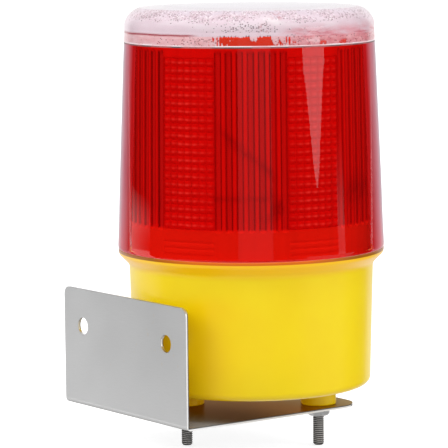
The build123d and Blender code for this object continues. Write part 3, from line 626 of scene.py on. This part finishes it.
def mist_plastic():
    """Inside of the dome: clear plastic under an even mist, with fine drops, a dry window low on
    the camera's side whose edge hangs in round lobes, and a thinner mist, painted pink with the
    red sleeve's light, where the sleeve stands close behind it; painted white glints on the
    drops."""
    mat = material("dome_inner_mist")
    co = mat.co
    x, y, z_m = co.axes()
    z = z_m * PER_M
    turn = camera_turn(x, y)
    patch = co.noise(scale=75.0, detail=4.0, rough=0.6)
    soft = co.stretch((1.0, 1.0, 4.0)).noise(scale=160.0, rough=0.6)
    fine = co.stretch((1.0, 1.0, 1.6)).noise(scale=1500.0, detail=2.0, rough=0.6)

    # lobed lower edge of the thick mist; arc is millimetres round the wall
    arc = turn * (43.1 * math.pi / 180.0)
    lobe = mat.add("TexVoronoi", W=arc, Scale=0.31, Randomness=0.85, voronoi_dimensions="1D")
    lobe_size = mat.add("SeparateColor", lobe["Color"])
    off = (lobe["Distance"] * 2.1).clamped()
    hang = (1.0 - off * off).clamped().math("SQRT")
    hang = hang * lobe_size.ramp(0.12, 1.0, to=(0.2, 3.3))
    tiny = mat.add("TexVoronoi", W=arc, Scale=1.3, Randomness=1.0,
                   voronoi_dimensions="1D")["Distance"]
    edge_z = 138.55 - hang - (0.5 - tiny) * 0.8
    below = (edge_z - z).ramp(-0.08, 0.08)
    ragged = co.noise(scale=420.0, rough=0.6)
    ragged = turn + ((tiny - 0.25) * 9.0 + (ragged - 0.5) * 22.0)
    in_window = ragged.ramp(-13.5, -12.9) * ragged.ramp(16.5, 17.2, to=FALL)
    window = below * in_window

    # small dry patches near the joint, right of the window
    near = turn.ramp(14.0, 20.0) * turn.ramp(60.0, 68.0, to=FALL)
    near = near * z.ramp(136.2, 137.2, to=FALL)
    dry = co.noise(scale=300.0, rough=0.6).ramp(0.53, 0.60, to=(0.0, 0.85))
    window = window.most(near * dry)

    # drops: one small dot in some of the cells, more of them in three bands of height
    cell = mat.add("TexVoronoi", Vector=co.stretch((1.0, 1.0, 1.5)), Scale=1500.0,
                   Randomness=1.0)
    pick = mat.add("SeparateColor", cell["Color"])[1]
    upper = z.ramp(142.0, 143.4) * z.ramp(145.30, 145.62, to=(1.0, 0.06))
    upper = upper * soft.ramp(0.38, 0.60, to=(0.20, 0.95))
    middle = z.ramp(139.2, 140.2) * z.ramp(142.5, 143.5, to=FALL) * (
        turn.bell(at=-2.0, width=15.0) * soft.ramp(0.40, 0.60, to=(0.12, 0.85)))
    lower = z.ramp(138.4, 138.0) * (
        patch.ramp(0.35, 0.65, to=(0.08, 0.45)) * turn.ramp(-60.0, -20.0, to=(0.35, 1.0)))
    density = upper.most(middle).most(lower)
    dot = cell["Distance"].ramp(0.30, 0.55, to=FALL) * (pick < density)
    lace = abs(edge_z - z).ramp(0.45, 0.15) * fine.ramp(0.45, 0.6)
    lace = lace * (turn.ramp(-28.0, -22.0) * turn.ramp(26.0, 34.0, to=FALL))
    dot = dot.most(lace * 0.8)

    # how thick the mist is
    thin = z.ramp(138.35, 138.15)
    cover = patch.ramp(0.25, 0.75, to=(0.90, 1.0))
    cover = cover * (1.0 - thin * soft.ramp(0.35, 0.65, to=(0.16, 0.0)))
    line_z = 138.42 + (patch - 0.5) * 0.8
    left_line = z.bell(at=line_z, width=0.37) * (
        turn.ramp(-23.0, -29.0) * soft.ramp(0.25, 0.45, to=(0.35, 1.0)))
    cover = cover * (1.0 - dot * 0.30)
    cover = (cover * (1.0 - window)).clamped()

    # colour by height, with pale runs under the shoulder
    colour = mat.mix(z.ramp(146.0, 143.0, smooth=True), (0.63, 0.60, 0.67), (0.90, 0.79, 0.86))
    colour = mat.mix((upper * 0.75).clamped(), colour, (0.70, 0.55, 0.60))
    colour = mat.mix(z.bell(at=145.45, width=0.10) * 0.55, colour, (0.42, 0.36, 0.42))
    runs = co.stretch((1.0, 1.0, 5.0)).noise(scale=60.0, detail=2.0)
    runs = z.bell(at=141.6, width=1.5) * runs.ramp(0.45, 0.62)
    colour = mat.mix(runs * 0.8, colour, (0.98, 0.92, 0.97))
    # where the mist is thin, pink is painted in from the red sleeve's light
    colour = mat.mix(thin, colour, mat.mix(soft, (1.0, 0.66, 0.70), (1.0, 0.92, 0.95)))

    # painted pink glow of the red sleeve on the right, the dark line on the left, red trails on
    # the right
    side_pink_glow = turn.ramp(12.0, 26.0) * z.ramp(143.0, 139.0, smooth=True)
    side_pink_glow = side_pink_glow * soft.ramp(0.35, 0.65, to=(0.9, 0.35))
    colour = mat.mix(side_pink_glow, colour, (0.86, 0.36, 0.42))
    colour = mat.mix(left_line, colour, (0.40, 0.016, 0.026))
    trails = co.stretch((1.0, 1.0, 9.0)).noise(scale=110.0, rough=0.6).ramp(0.52, 0.60)
    trails = trails * (turn.ramp(14.0, 24.0) * z.bell(at=138.9, width=1.5))
    colour = mat.mix(trails * 0.55, colour, (0.62, 0.07, 0.10))

    # the dots, and painted white glints in a second set of cells
    high = z.ramp(142.3, 143.0)
    colour = mat.mix(dot * z.ramp(142.3, 143.0, to=(0.74, 0.52)), colour,
                     mat.mix(high, (0.20, 0.11, 0.14), (0.34, 0.15, 0.19)))
    spark_cell = mat.add("TexVoronoi", Scale=1350.0, Randomness=1.0,
                         Vector=co.stretch((1.0, 1.0, 1.4), turn=(0.3, 0.1, 0.0)))
    spark_pick = mat.add("SeparateColor", spark_cell["Color"])
    drop_glint = spark_cell["Distance"].ramp(0.28, 0.50, to=FALL) * (spark_pick < density * 0.6)
    drop_glint = drop_glint * (1.0 - thin)
    colour = mat.mix(drop_glint * 0.85, colour, (1.0, 0.99, 1.0))

    # a slanted white smear, two red spots and a pale haze over all
    spotty = co.noise(scale=620.0, rough=0.6).ramp(0.47, 0.57)
    smear = (turn + (z - 143.0) * 2.2).bell(at=11.0, width=4.5) * z.bell(at=143.0, width=1.3)
    colour = mat.mix(smear * 0.75, colour, (1.0, 0.985, 0.99))
    upper_spot = turn.bell(at=13.5, width=2.6) * z.bell(at=144.2, width=0.8)
    lower_spot = turn.bell(at=6.5, width=2.4) * z.bell(at=140.7, width=1.4)
    colour = mat.mix(upper_spot.most(lower_spot) * spotty * 0.75, colour, (0.42, 0.055, 0.075))
    colour = mat.mix(((fine - 0.35) * 0.5).clamped(), colour, (0.90, 0.85, 0.90))

    beads = mat.add("TexVoronoi", Vector=co, Scale=900.0, Randomness=1.0)["Distance"]
    normal = (1.0 - beads).bump(distance=0.00010, strength=0.5)
    glass = mat.add("BsdfGlass", Color=(0.985, 0.955, 0.96), Roughness=0.02, IOR=1.30,
                    Normal=normal)
    fog = mat.blend(0.35, mat.diffuse(colour), mat.translucent(colour))
    return see_through_shadow(mat, mat.blend(cover * 0.95, glass, fog), (0.9, 0.88, 0.89))


def joint_line(name, colour, other):
    """Thin weld line round the cover: cloudy, with dirt caught in it here and there."""
    mat = material(name)
    cloud = mat.co.stretch((1.0, 1.0, 0.3)).noise(scale=120.0, detail=4.0, rough=0.7)
    mixed = mat.mix(cloud.ramp(0.42, 0.62), colour, other)
    roughness = mat.co.noise(scale=900.0, detail=2.0) * 0.2 + 0.25
    solid = mat.add("BsdfPrincipled", Base_Color=mixed, Roughness=roughness)
    return see_through_shadow(mat, solid, grey(0.8))


def solar_silicon():
    """Blue-black polycrystalline cells: crystal patches and fine silver fingers under resin."""
    mat = material("solar_cells_silicon")
    x, y, z = mat.co.axes()
    crystal = mat.add("TexVoronoi", Vector=mat.co, Scale=260.0)["Color"]
    colour = mat.mix(crystal, (0.008, 0.014, 0.045), (0.020, 0.040, 0.12))
    finger_pitch = 1.7
    finger = (x * (PER_M / finger_pitch)).math("FRACT") < 0.09
    colour = mat.mix(finger, colour, (0.45, 0.46, 0.48))
    return mat.finish(mat.add("BsdfPrincipled", Base_Color=colour, Roughness=0.25,
                              Coat_Weight=0.8, Coat_Roughness=0.05, Metallic=finger * 0.8))


def board_mask():
    """Green solder mask with raised copper tracks and pads showing through."""
    mat = material("board_green_mask")
    tracks = mat.add("TexVoronoi", Vector=mat.co.stretch((1, 1, 0.01)), Scale=170.0,
                     feature="DISTANCE_TO_EDGE", distance="EUCLIDEAN")["Distance"]
    line = tracks.ramp(0.05, 0.09, to=FALL)
    fine = mat.co.noise(scale=1200.0, detail=2.0)
    colour = mat.mix(line, (0.010, 0.065, 0.022), (0.030, 0.16, 0.045))
    normal = (line + fine * 0.1).bump(distance=0.00004, strength=0.6)
    return mat.finish(mat.add("BsdfPrincipled", Base_Color=colour, Roughness=fine * 0.1 + 0.28,
                              Coat_Weight=0.3, Normal=normal))


MAT = {
    "stainless": metal("stainless_sheet", grey(0.79), rough=0.32, stretch=(1.0, 45.0, 45.0),
                       grain=190.0, depth=0.000003, aniso=0.3, finish=plate_painted_light),
    "bolt_steel": metal("bolt_steel", (0.24, 0.22, 0.20), rough=0.24,
                        stretch=(20.0, 20.0, 1.0), grain=220.0, finish=dark_threads_crest_glints),
    "nut_steel": metal("nut_steel", grey(0.78), rough=0.26, stretch=(6.0, 6.0, 1.0),
                       grain=300.0, finish=paled),
    "yellow_plastic": yellow_cup(),
    "clear_plastic": cover_plastic(),
    "dome_plastic": dome_plastic(),
    "mist": mist_plastic(),
    "weld_pale": joint_line("weld_line_pale", (0.86, 0.80, 0.82), (0.80, 0.52, 0.55)),
    "weld_dark": joint_line("weld_line_dark", (0.10, 0.06, 0.06), (0.36, 0.10, 0.10)),
    "red_plastic": red_plastic(),
    "seal_rubber": moulded("seal_orange_rubber", (0.55, 0.16, 0.01), (0.62, 0.20, 0.02),
                           rough=0.5, grain=1500.0, depth=0.00002),
    "black_rubber": moulded("black_rubber", grey(0.012), grey(0.02),
                            rough=0.62, grain=1500.0, depth=0.00002),
    "black_plastic": moulded("black_moulding", (0.012, 0.012, 0.013), (0.022, 0.022, 0.024),
                             rough=0.42, grain=1300.0, depth=0.00002),
    "white_plastic": moulded("white_moulding", (0.70, 0.70, 0.67), (0.78, 0.78, 0.75),
                             rough=0.40, grain=1000.0, depth=0.00001, Subsurface_Weight=0.1),
    "board_green": board_mask(),
    "chip_black": moulded("chip_package", (0.012, 0.012, 0.014), (0.02, 0.02, 0.022),
                          rough=0.55, grain=2200.0, depth=0.00002),
    "coil_ferrite": moulded("ferrite", (0.035, 0.03, 0.028), (0.06, 0.05, 0.045),
                            rough=0.6, grain=1800.0, depth=0.00003),
    "cap_sleeve": moulded("capacitor_sleeve", (0.01, 0.012, 0.06), (0.016, 0.02, 0.09),
                          rough=0.25, grain=900.0, depth=0.000006, Coat_Weight=0.3),
    "led_clear": led_epoxy(),
    "tinned": metal("tinned_copper", (0.70, 0.69, 0.67), rough=0.30),
    "cell_wrap": moulded("battery_wrap", (0.02, 0.09, 0.24), (0.03, 0.13, 0.30),
                         rough=0.22, grain=700.0, depth=0.000008, Coat_Weight=0.4),
    "spring_steel": metal("nickel_spring", (0.66, 0.64, 0.60), rough=0.24,
                          stretch=(8.0, 8.0, 8.0)),
    "solar_back": moulded("panel_laminate", (0.02, 0.022, 0.03), (0.03, 0.032, 0.045),
                          rough=0.35, grain=1400.0, depth=0.00001, Coat_Weight=0.4),
    "solar_blue": solar_silicon(),
    "wire_red": moulded("wire_red_pvc", (0.45, 0.008, 0.006), (0.55, 0.014, 0.01),
                        rough=0.33, grain=900.0, depth=0.00001),
    "wire_black": moulded("wire_black_pvc", grey(0.010), grey(0.018),
                          rough=0.36, grain=900.0, depth=0.00001),
}
slots = {part["node"]: part["material_slot"] for part in frame["record"]["subparts"]}
for name, ob in NODES.items():
    ob.data.materials.clear()
    ob.data.materials.append(MAT[slots[name]])

ROUND = [360.0 * i / 320 for i in range(320)]    # ring directions of the cover and dome


# ------------------------------------------------------------- clear cover
def build_cover():
    # outer wall from the rim upwards: (r, z)
    outer = spline([(47.5, 62.6), (47.1, 71.0), (46.6, 85.3), (46.0, 99.6), (45.4, 113.8),
                    (44.8, 128.0), (44.47, 134.3)], steps=4)
    bore_top, bore_foot, bore_steps = 43.25, 43.7, 12
    top_z = JOINT_Z - 0.05
    loop = [(bore_foot, RIM_Z), (47.05, RIM_Z), (47.3, RIM_Z + 0.1), (47.44, RIM_Z + 0.3)]
    loop += outer + [(44.46, 134.52), (44.30, top_z), (bore_top, top_z)]
    loop += [(bore_top + (bore_foot - bore_top) * i / bore_steps,
              top_z - (top_z - RIM_Z) * i / bore_steps) for i in range(1, bore_steps)]
    weld = loop.index(outer[-1])
    cover = lathe("clear_cover_shell", loop, ROUND, [MAT["clear_plastic"], MAT["weld_dark"]],
                  face_mat=lambda i: 1 if weld <= i < weld + 2 else 0)
    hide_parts("clear_cover")


# -------------------------------------------------------------- clear dome
def build_dome():
    # outer skin from the joint to the axis: (r, z)
    outer = [(44.30, JOINT_Z), (44.44, JOINT_Z + 0.12), (44.44, JOINT_Z + 0.40)]
    outer += spline([(44.43, 136.2), (44.4, 137.4), (44.36, 139.2), (44.33, 141.15),
                     (44.08, 142.17), (43.57, 143.28), (42.81, 144.36), (41.86, 145.33),
                     (40.78, 146.1), (39.68, 146.62), (38.68, 146.87), (32.5, 147.11),
                     (23.65, 147.37), (14.78, 147.55), (6.0, 147.64)], steps=3)
    outer.append((0.0, 147.65))
    # inner skin from the axis back to the joint: (r, z)
    inner = [(0.0, 145.85)]
    inner += spline([(6.0, 145.84), (14.8, 145.75), (23.6, 145.6), (32.0, 145.33),
                     (36.8, 145.1), (39.4, 144.5), (41.2, 143.25), (42.2, 141.5),
                     (42.6, 139.4)], steps=4)
    inner += [(43.1, 138.6), (43.1, 137.4), (43.1, 136.2), (43.1, JOINT_Z)]
    loop = outer + inner

    def skin(i):
        """Mist inside, the weld line on the first two bands, plain plastic elsewhere."""
        if len(outer) <= i < len(loop) - 1:
            return 1
        return 2 if i < 2 else 0

    dome = lathe("dome_cap_shell", loop, ROUND,
                 [MAT["dome_plastic"], MAT["mist"], MAT["weld_pale"]], face_mat=skin)
    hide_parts("dome_cap")


# ---------------------------------------------------------------- red lens
PILLOW_CUTS = (0.0, 0.08, 0.22, 0.38, 0.5, 0.62, 0.78, 0.92)    # shares of one pillow
FLUTE_REACH = 1.12     # a flute fades out at this many half widths


def lens_angles():
    """Ring directions, closer together on flutes and pillows."""
    cuts = (-FLUTE_REACH, -1.0, -0.86, -0.62, -0.3, 0, 0.3, 0.62, 0.86, 1.0, FLUTE_REACH)
    width = 2 * GRID_HALF / COLS
    angles = []
    for k in range(6):
        rib, grid = RIB_MID + 60 * k, SECTOR + 60 * k
        for i in range(7):
            middle = rib - 15 + 5 * i
            angles += [middle + FLUTE_HALF * cut for cut in cuts]
            if i < 6:
                angles.append(middle + 2.5)
        for i in range(COLS):
            left = grid - GRID_HALF + width * i
            angles += [left + width * cut for cut in PILLOW_CUTS]
        angles += [grid + GRID_HALF, grid + GRID_HALF + 0.3, grid - GRID_HALF - 0.3]
    return sorted(angle % 360 for angle in angles)


def lens_heights():
    heights = [62.0, 62.4, 69.4, 70.4]
    heights += [63.0 + 0.25 * i for i in range(25)]
    heights += [70.9 + 0.2 * i for i in range(6)]
    for row in range(ROWS):
        heights += [GRID_Z0 + ROW_HEIGHT * (row + cut) for cut in PILLOW_CUTS]
    heights += [GRID_Z1, GRID_Z1 + 0.3, 131.6, 132.2, 132.8, 133.2, 133.6, 134.0, 134.6,
                137.2, 137.8]
    return sorted(set(round(z, 4) for z in heights))


LENS_ZS = lens_heights()


def lens_radius(i, r, z, angle):
    """Outer radius with the moulded pattern; points past the outer wall keep theirs."""
    if i >= len(LENS_ZS):
        return r
    off = (angle - SECTOR + 30) % 60 - 30        # from the nearest grid sector's middle
    if abs(off) <= GRID_HALF and GRID_Z0 <= z <= GRID_Z1:
        column = ((off + GRID_HALF) / (2 * GRID_HALF) * COLS) % 1.0
        row = ((z - GRID_Z0) / ROW_HEIGHT) % 1.0
        if abs(off) > GRID_HALF - 1e-6:
            column = 0.0
        if z > GRID_Z1 - 1e-6:
            row = 0.0
        swell = (1 - (2 * column - 1) ** 2) * (1 - (2 * row - 1) ** 2)
        return r - PILLOW * (1 - max(swell, 0.0) ** 0.75) * 0.98
    if abs(off) <= GRID_HALF and 63.0 <= z <= 68.9:
        # level grooves below the grid, every 2.2 mm
        wave = math.sin(math.pi * ((z - 63.0) / 2.2 % 1.0)) ** 2
        edge = min(1.0, (GRID_HALF - abs(off)) / 0.8)
        return r - 0.28 * edge * (1 - wave) ** 3
    off = (angle - RIB_MID + 30) % 60 - 30       # from the nearest ribbed sector's middle
    if abs(off) < 17.0:
        flute = off / FLUTE_STEP
        across = (flute - round(flute)) * FLUTE_STEP * math.radians(1) * LENS_R
        half = FLUTE_HALF * math.radians(1) * LENS_R
        if z < FLUTE_Z0:
            reach = math.hypot(across, FLUTE_Z0 - z)
        elif z > FLUTE_Z1 - half:
            reach = math.hypot(across, z - FLUTE_Z1 + half)
        else:
            reach = abs(across)
        reach /= half
        if reach < FLUTE_REACH:
            return r - FLUTE_DEEP * (1.0 - reach ** 4 / FLUTE_REACH ** 4)
    return r


def build_lens():
    loop = [(LENS_R, z) for z in LENS_ZS]
    loop += [(LENS_R - 0.15, 138.1), (LENS_R - 0.5, 138.3), (LENS_IN + 0.2, 138.3),
             (LENS_IN, 138.1)]
    loop += [(LENS_IN, 138.1 - 76.0 * i / 14) for i in range(1, 15)]
    loop.append((LENS_IN + 0.1, 62.0))
    lens = lathe("red_lens_sleeve", loop, lens_angles(), [MAT["red_plastic"]],
                 radius=lens_radius, sharp=60)
    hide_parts("red_lens")


def build_lug(number):
    """One of the three thread lugs inside the sleeve's foot: a short helical bar with tapered
    ends, four corners per step."""
    inner_r, outer_r = 39.9, 41.4
    inner_half, outer_half = 0.2, 0.38       # half heights
    lead, span, steps = 6.6, 14.0, 14        # rise per turn in mm, length in degrees
    start = SECTOR + 120 * number + 20
    start_z = 62.4 + 1.1 + lead * 20 / 360
    verts, faces = [], []
    for i in range(steps + 1):
        t = i / steps
        angle = math.radians(start + span * t)
        z = start_z + lead * span * t / 360
        full = min(1.0, 4 * min(t, 1 - t) + 0.35)
        tip_r = inner_r + (outer_r - inner_r) * (1 - full) * 0.5
        for r, rise in ((tip_r, -inner_half), (outer_r, -outer_half),
                        (outer_r, outer_half), (tip_r, inner_half)):
            verts.append((r * math.cos(angle), r * math.sin(angle), z + rise))
    for i in range(steps):
        at = 4 * i
        for j in range(4):
            after = (j + 1) % 4
            faces.append((at + j, at + after, at + 4 + after, at + 4 + j))
    faces += [(3, 2, 1, 0), tuple(4 * steps + j for j in range(4))]
    lug = make_object(f"lens_lug_{number + 1}", verts, faces, [MAT["red_plastic"]], "cover")


# ------------------------------------------------------- bolts and nuts, M4
def hex_radius(angle):
    return HEX_WIDTH / 2 / math.cos(angle % (math.pi / 3) - math.pi / 6)


def build_bolt(number, cx, cy):
    tip, thread_end, head_foot, head_top = -10.8, 9.0, 14.7, 17.5
    pitch, major, depth = 0.7, 2.0, 0.42
    seg, rings_per_turn = 48, 10
    spin = 0.7 + 2.1 * number
    verts, faces, rings = [(cx, cy, tip)], [], []

    def ring(z, radius):
        rings.append(len(verts))
        for j in range(seg):
            angle = 2 * math.pi * j / seg
            r = radius(angle)
            verts.append((cx + r * math.cos(angle), cy + r * math.sin(angle), z))

    def thread(angle):
        phase = (z / pitch + (angle + spin) / (2 * math.pi)) % 1.0
        crest = min(1.0, max(0.0, (abs(2 * phase - 1) - 0.05) * 1.9))
        r = major - 0.02 - depth * (1 - crest)
        return min(r, max(1.4, 1.45 + (z - tip)))      # chamfered tip

    z = tip
    while z < thread_end:
        ring(z, thread)
        z += pitch / rings_per_turn
    for z in (thread_end, head_foot):
        ring(z, lambda angle: major - 0.06)
    # head rings: z, largest radius
    for z, most in ((head_foot, 3.75), (head_foot + 0.25, 4.1), (head_top - 0.35, 4.1),
                    (head_top, 3.45)):
        ring(z, lambda angle: min(hex_radius(angle + spin), most))
    verts.append((cx, cy, head_top))
    for a, b in zip(rings, rings[1:]):
        for j in range(seg):
            after = (j + 1) % seg
            faces.append((a + j, a + after, b + after, b + j))
    for j in range(seg):
        after = (j + 1) % seg
        faces.append((0, rings[0] + after, rings[0] + j))
        faces.append((len(verts) - 1, rings[-1] + j, rings[-1] + after))
    bolt = make_object(f"mounting_bolt_{number + 1}", verts, faces, [MAT["bolt_steel"]], "base",
                       sharp=28)
    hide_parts("mounting_bolts")


def build_nut(number, cx, cy):
    # section from the bore's foot round the outside: (largest r, z)
    loop = [(2.05, 0.3), (2.35, 0.0), (3.30, 0.0), (3.62, 0.16), (4.1, 0.5),
            (4.1, 2.7), (3.62, 3.04), (3.30, 3.2), (2.35, 3.2), (2.05, 2.9)]
    seg = 72
    spin = math.radians(17 + 40 * number)
    verts, faces = [], []
    for most, z in loop:
        for j in range(seg):
            angle = 2 * math.pi * j / seg
            r = min(most, hex_radius(angle))
            verts.append((cx + r * math.cos(angle + spin), cy + r * math.sin(angle + spin), z))
    for i in range(len(loop)):
        a, b = i * seg, ((i + 1) % len(loop)) * seg
        for j in range(seg):
            after = (j + 1) % seg
            faces.append((a + j, a + after, b + after, b + j))
    nut = make_object(f"bracket_nut_{number + 1}", verts, faces, [MAT["nut_steel"]], "base",
                      sharp=25)
    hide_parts("bracket_nuts")


build_cover()
build_dome()
build_lens()
for i in range(3):
    build_lug(i)
for i, (x, y) in enumerate(STUDS):
    build_bolt(i, x, y)
for i, (x, y) in enumerate(STUDS):
    build_nut(i, x, y)


# ---------------------------------------------------- stage, now in metres
FLOOR_Z = -0.01092
FLOOR_HALF = 30
LIGHT_AIM_Z = 0.08     # height the lights point at
CARD_AIM_Z = 0.10      # height the cards are laid out from
CARD_DIST = 2.6


def plane(name, corners, mat):
    mesh = bpy.data.meshes.new(name)
    mesh.from_pydata(corners, [], [tuple(range(len(corners)))])
    mesh.materials.append(mat)
    ob = bpy.data.objects.new(name, mesh)
    bpy.context.scene.collection.objects.link(ob)
    return ob


def build_floor():
    mat = material("floor_paper")
    grain = mat.co.noise(scale=90.0, detail=4.0)
    paper = mat.diffuse(mat.mix(grain, grey(0.48), grey(0.52)))
    lit = mat.add("Emission", Color=grey(1), Strength=0.74)
    seen = mat.add("AddShader", paper, lit)
    bounced = mat.diffuse(grey(0.45))
    to_camera = mat.add("LightPath")["Is Camera Ray"]
    paper = mat.finish(mat.blend(to_camera, bounced, seen))
    corners = [(FLOOR_HALF * x, FLOOR_HALF * y, FLOOR_Z)
               for x, y in ((-1, -1), (1, -1), (1, 1), (-1, 1))]
    plane("studio_floor", corners, paper).visible_glossy = False


def build_world():
    """White studio. Reflections and refractions see it bright behind the lamp, above and below,
    and darker all round."""
    world = bpy.data.worlds.new("studio")
    bpy.context.scene.world = world
    sky = Shader(world, "OutputWorld")
    x, y, z = sky.add("TexCoord")["Generated"].axes()
    behind = math.radians(CAM_AZ + 180)
    level = distance(x, y)
    ahead = (x * math.cos(behind) + y * math.sin(behind)) / level.most(0.0001)

    def backdrop(outer, inner, low):
        """Grows from low at outer degrees off the backdrop's middle to 1 at inner degrees."""
        return ahead.ramp(math.cos(math.radians(outer)), math.cos(math.radians(inner)),
                          to=(low, 1.0), smooth=True)

    def background(strength):
        return sky.add("Background", Color=grey(1), Strength=strength)

    reflected = backdrop(outer=46, inner=24, low=0.0)
    refracted = backdrop(outer=44, inner=6, low=0.45)
    up = z.ramp(0.30, 0.75, to=(0.0, 0.85), smooth=True)
    down = z.ramp(-0.30, -0.75, to=(0.0, 0.60), smooth=True)
    reflected = reflected.most(0.012).most(up.most(down))
    refracted = refracted.most(up.most(down))
    path = sky.add("LightPath")
    light = background(1.06)
    for ray, strength in (("Glossy", reflected), ("Transmission", refracted), ("Camera", 1.0)):
        light = sky.blend(path[f"Is {ray} Ray"], light, background(strength))
    sky.finish(light)
    world.cycles.sampling_method = "NONE"


def polar(azimuth, elevation, dist, z):
    """Point seen from height z on the lamp's axis, in degrees and metres."""
    a, e = math.radians(azimuth), math.radians(elevation)
    return Vector((dist * math.cos(a) * math.cos(e), dist * math.sin(a) * math.cos(e),
                   z + dist * math.sin(e)))


def softbox(name, turn, elevation, dist, width, height, power):
    light = bpy.data.lights.new(name, "AREA")
    light.shape = "RECTANGLE"
    light.size = width
    light.size_y = height
    light.energy = power
    ob = bpy.data.objects.new(name, light)
    bpy.context.scene.collection.objects.link(ob)
    ob.location = polar(CAM_AZ + turn, elevation, dist, LIGHT_AIM_Z)
    ob.rotation_mode = "QUATERNION"
    aim = Vector((0, 0, LIGHT_AIM_Z)) - ob.location
    ob.rotation_quaternion = aim.to_track_quat("-Z", "Y")
    ob.visible_glossy = False


def rect(left, right, low, high):
    return [(left, low), (right, low), (right, high), (left, high)]


def card(name, azimuth, corners, strength, fade_up=0.0, fade_side=0.0):
    """Lit card that only reflections see; corners are (degrees across, degrees up) from the
    lamp. It can fade towards its top and its sides over some degrees."""
    mat = material(name + "_light")
    if fade_up:
        x, y, z = mat.add("NewGeometry")["Position"].axes()
        up = (z - CARD_AIM_Z).math("ARCTAN2", distance(x, y)) * DEGREES
        top = max(e for a, e in corners)
        strength = strength * up.ramp(top - fade_up, top, to=FALL, smooth=True)
        across = y.math("ARCTAN2", x) * DEGREES - azimuth
        across = (across + (180.0 + 720.0)) % 360.0 - 180.0
        left, right = min(a for a, e in corners), max(a for a, e in corners)
        strength = strength * across.ramp(left, left + fade_side, smooth=True)
        strength = strength * across.ramp(right - fade_side, right, to=FALL, smooth=True)
    light = mat.finish(mat.add("Emission", Color=grey(1), Strength=strength))
    points = [tuple(polar(azimuth + a, e, CARD_DIST, CARD_AIM_Z)) for a, e in corners]
    ob = plane(name, points, light)
    ob.visible_camera = False
    ob.visible_diffuse = False
    ob.visible_shadow = False
    ob.visible_transmission = False


build_floor()
build_world()
# name, degrees right of the camera, elevation, distance, width, height, watts
for settings in (("softbox_left", -62, 32, 2.4, 1.3, 1.3, 20),
                 ("softbox_right", 70, 25, 2.6, 1.0, 1.4, 20),
                 ("softbox_top", 0, 80, 2.2, 1.4, 1.4, 24)):
    softbox(*settings)
card("front_card", CAM_AZ + 4, rect(-14.6, 14.6, -40, 8), strength=0.17)
card("streak_card", CAM_AZ + 59.5, [(0, -2.6), (11, 1.6), (12, 9), (-12, 9), (-11, 1.6)],
     strength=1.48)
card("side_card", CAM_AZ + 83.7, rect(-4.7, 4.7, -40, -0.8), strength=0.60,
     fade_up=5.0, fade_side=1.5)
card("table_card", 28.0, rect(-34, 19, -45, -3.9), strength=1.12, fade_up=2.6, fade_side=1.0)
card("low_card", 217.0, rect(-25, 25, -45, -7.5), strength=0.42)


# ------------------------------------------------------------------- camera
def build_camera():
    dist, height = 1.004, 0.1882
    pitch, roll = math.radians(6.75), math.radians(0.5)      # pitch is downwards
    camera = bpy.data.cameras.new("camera")
    camera.sensor_width = 36.0
    camera.lens = 227.386607
    camera.shift_x = -0.06015625
    camera.shift_y = -0.00100446
    camera.clip_start = 0.05
    camera.clip_end = 80.0
    ob = bpy.data.objects.new("camera", camera)
    bpy.context.scene.collection.objects.link(ob)
    azimuth = math.radians(CAM_AZ)
    outward = Vector((math.cos(azimuth), math.sin(azimuth), 0))
    up = Vector((0, 0, 1))
    right = (-outward).cross(up)
    forward = -outward * math.cos(pitch) - up * math.sin(pitch)
    view_up = right.cross(forward)
    across = right * math.cos(roll) - view_up * math.sin(roll)
    upward = right * math.sin(roll) + view_up * math.cos(roll)
    turn = Matrix((across, upward, -forward)).transposed()
    place = Matrix.Translation(outward * dist + up * height)
    ob.matrix_world = place @ turn.to_4x4()
    bpy.context.scene.camera = ob


build_camera()

scene = bpy.context.scene
scene.view_settings.view_transform = "Standard"
scene.view_settings.look = "None"
scene.cycles.max_bounces = 24
scene.cycles.transmission_bounces = 20
scene.cycles.transparent_max_bounces = 24
scene.cycles.caustics_reflective = True
scene.cycles.sample_clamp_indirect = 6.0

bpy.context.view_layer.update()
